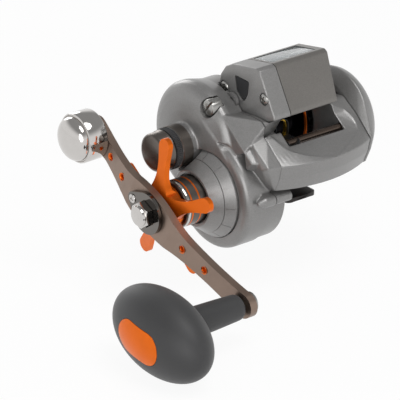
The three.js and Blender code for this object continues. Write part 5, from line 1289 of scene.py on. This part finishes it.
class REEL_OT_stage(Piece, bpy.types.Operator):
    """Sets the pale floor, the soft studio lamps, the backdrop and the camera"""
    bl_idname = "reel.stage"
    bl_label = "Stage"

    def build(self, sizes):
        self.floor()
        self.backdrop()
        # The key lamp stands high in front, the fill lamp on the crank's side and the last one behind
        self.lamp("key_softbox", (-0.05, -0.36, 0.76), 0.5, 3.0)
        self.lamp("fill_softbox", (-0.72, -0.6, 0.25), 0.6, 2.6)
        self.lamp("back_softbox", (0.15, 0.8, 0.3), 0.45, 1.6)
        self.camera()
        bpy.context.scene.view_settings.view_transform = "Standard"

    def floor(self):
        half, gap = 3, 0.0002
        low, _ = cad_box
        form = bmesh.new()
        bmesh.ops.create_grid(form, x_segments=1, y_segments=1, size=half,
                              matrix=Matrix.Translation((0, 0, low.z - gap)))
        made = held(form, "floor")
        look, tree, place = started("pale_paper_sweep")
        # The paper is seen as plain white, and a share of its real surface keeps the reel's shadow
        fibre = node(tree, "TexNoise", {"Vector": place, "Scale": 40.0, "Detail": 3.0}).outputs["Fac"]
        tone = mixed(tree, fibre, (0.9, 0.9, 0.9, 1), (0.94, 0.94, 0.94, 1))
        paper = node(tree, "BsdfPrincipled", {"Base Color": tone, "Roughness": 0.9})
        white = node(tree, "Emission", {"Color": (1, 1, 1, 1), "Strength": 1.0})
        share = node(tree, "Math", {0: self.seen_rays(tree), 1: 0.92}, operation="MULTIPLY").outputs[0]
        shown(tree, "MixShader", {0: share, 1: paper.outputs[0], 2: white.outputs[0]})
        made.data.materials.append(look)

    def seen_rays(self, tree):
        """One for the rays that look at the backdrop straight, in a mirror or through glass."""
        path = node(tree, "LightPath").outputs
        seen = path["Is Camera Ray"]
        for ray in ("Is Glossy Ray", "Is Transmission Ray"):
            seen = node(tree, "Math", {0: seen, 1: path[ray]}, operation="MAXIMUM").outputs[0]
        return seen

    def backdrop(self):
        world = bpy.data.worlds.new("studio")
        world.use_nodes = True
        tree = world.node_tree
        tree.nodes.clear()
        # The white sweep ends at some height and the ceiling over it is dim, as in a studio
        way = node(tree, "TexCoord").outputs["Generated"]
        up = node(tree, "SeparateXYZ", {"Vector": way}).outputs["Z"]
        grade = node(tree, "MapRange", {"Value": up, "From Min": 0.2, "From Max": 0.62, "To Min": 1.0,
                                        "To Max": 0.36}, interpolation_type="SMOOTHSTEP")
        sweep = node(tree, "Background", {"Color": grade.outputs[0], "Strength": 1.0})
        ambient = node(tree, "Background", {"Color": (1, 1, 1, 1), "Strength": 0.42})
        both = node(tree, "MixShader", {0: self.seen_rays(tree), 1: ambient.outputs[0], 2: sweep.outputs[0]})
        node(tree, "OutputWorld", {"Surface": both.outputs[0]})
        bpy.context.scene.world = world

    def lamp(self, name, place, size, power):
        """A round lamp that looks at the reel's middle."""
        data = bpy.data.lights.new(name, "AREA")
        data.shape = "DISK"
        data.size = size
        data.energy = power
        lamp = linked(name, data)
        lamp.location = place
        aim = Vector((-0.03, -0.02, 0.015)) - Vector(place)
        lamp.rotation_euler = aim.to_track_quat("-Z", "Y").to_euler()

    def camera(self):
        """A long lens from the crank's side, in front of the reel and above it."""
        data = bpy.data.cameras.new("camera")
        data.lens = 297
        data.sensor_width = 36
        data.clip_start = 0.1
        data.clip_end = 20
        camera = linked("camera", data)
        camera.location = (-0.7199, -0.8684, 0.4985)
        azimuth, elevation = math.radians(-38.7), math.radians(24.3)
        back = Vector((math.sin(azimuth) * math.cos(elevation), -math.cos(azimuth) * math.cos(elevation),
                       math.sin(elevation)))
        camera.rotation_euler = (-back).to_track_quat("-Z", "Y").to_euler()
        bpy.context.scene.camera = camera


class REEL_PT_panel(bpy.types.Panel):
    """Lists the steps that build the reel"""
    bl_idname = "REEL_PT_panel"
    bl_label = "Line-counter reel"
    bl_space_type = "VIEW_3D"
    bl_region_type = "UI"
    bl_category = "Reel"

    def draw(self, context):
        for step in STEPS:
            self.layout.operator(step.bl_idname)
        for group in (context.scene.reel_sizes, context.scene.reel_colours):
            box = self.layout.box()
            for name in group.__annotations__:
                box.prop(group, name)


STEPS = (
    REEL_OT_frame, REEL_OT_hood, REEL_OT_handle_cover, REEL_OT_palm_plate, REEL_OT_foot, REEL_OT_spool,
    REEL_OT_line_guide, REEL_OT_thumb_bar, REEL_OT_counter, REEL_OT_counter_face, REEL_OT_drag,
    REEL_OT_crank, REEL_OT_counterweight, REEL_OT_knob, REEL_OT_cast_cap, REEL_OT_notch_screw,
    REEL_OT_inner_works, REEL_OT_stage,
)
CLASSES = (ReelColours, ReelSizes, *STEPS, REEL_PT_panel)


def register():
    for kind in CLASSES:
        bpy.utils.register_class(kind)
    bpy.types.Scene.reel_sizes = PointerProperty(type=ReelSizes)
    bpy.types.Scene.reel_colours = PointerProperty(type=ReelColours)


def unregister():
    del bpy.types.Scene.reel_colours
    del bpy.types.Scene.reel_sizes
    for kind in reversed(CLASSES):
        bpy.utils.unregister_class(kind)


def main():
    register()
    for step in STEPS:
        group, name = step.bl_idname.split(".")
        getattr(getattr(bpy.ops, group), name)()


if __name__ == "__main__":
    main()
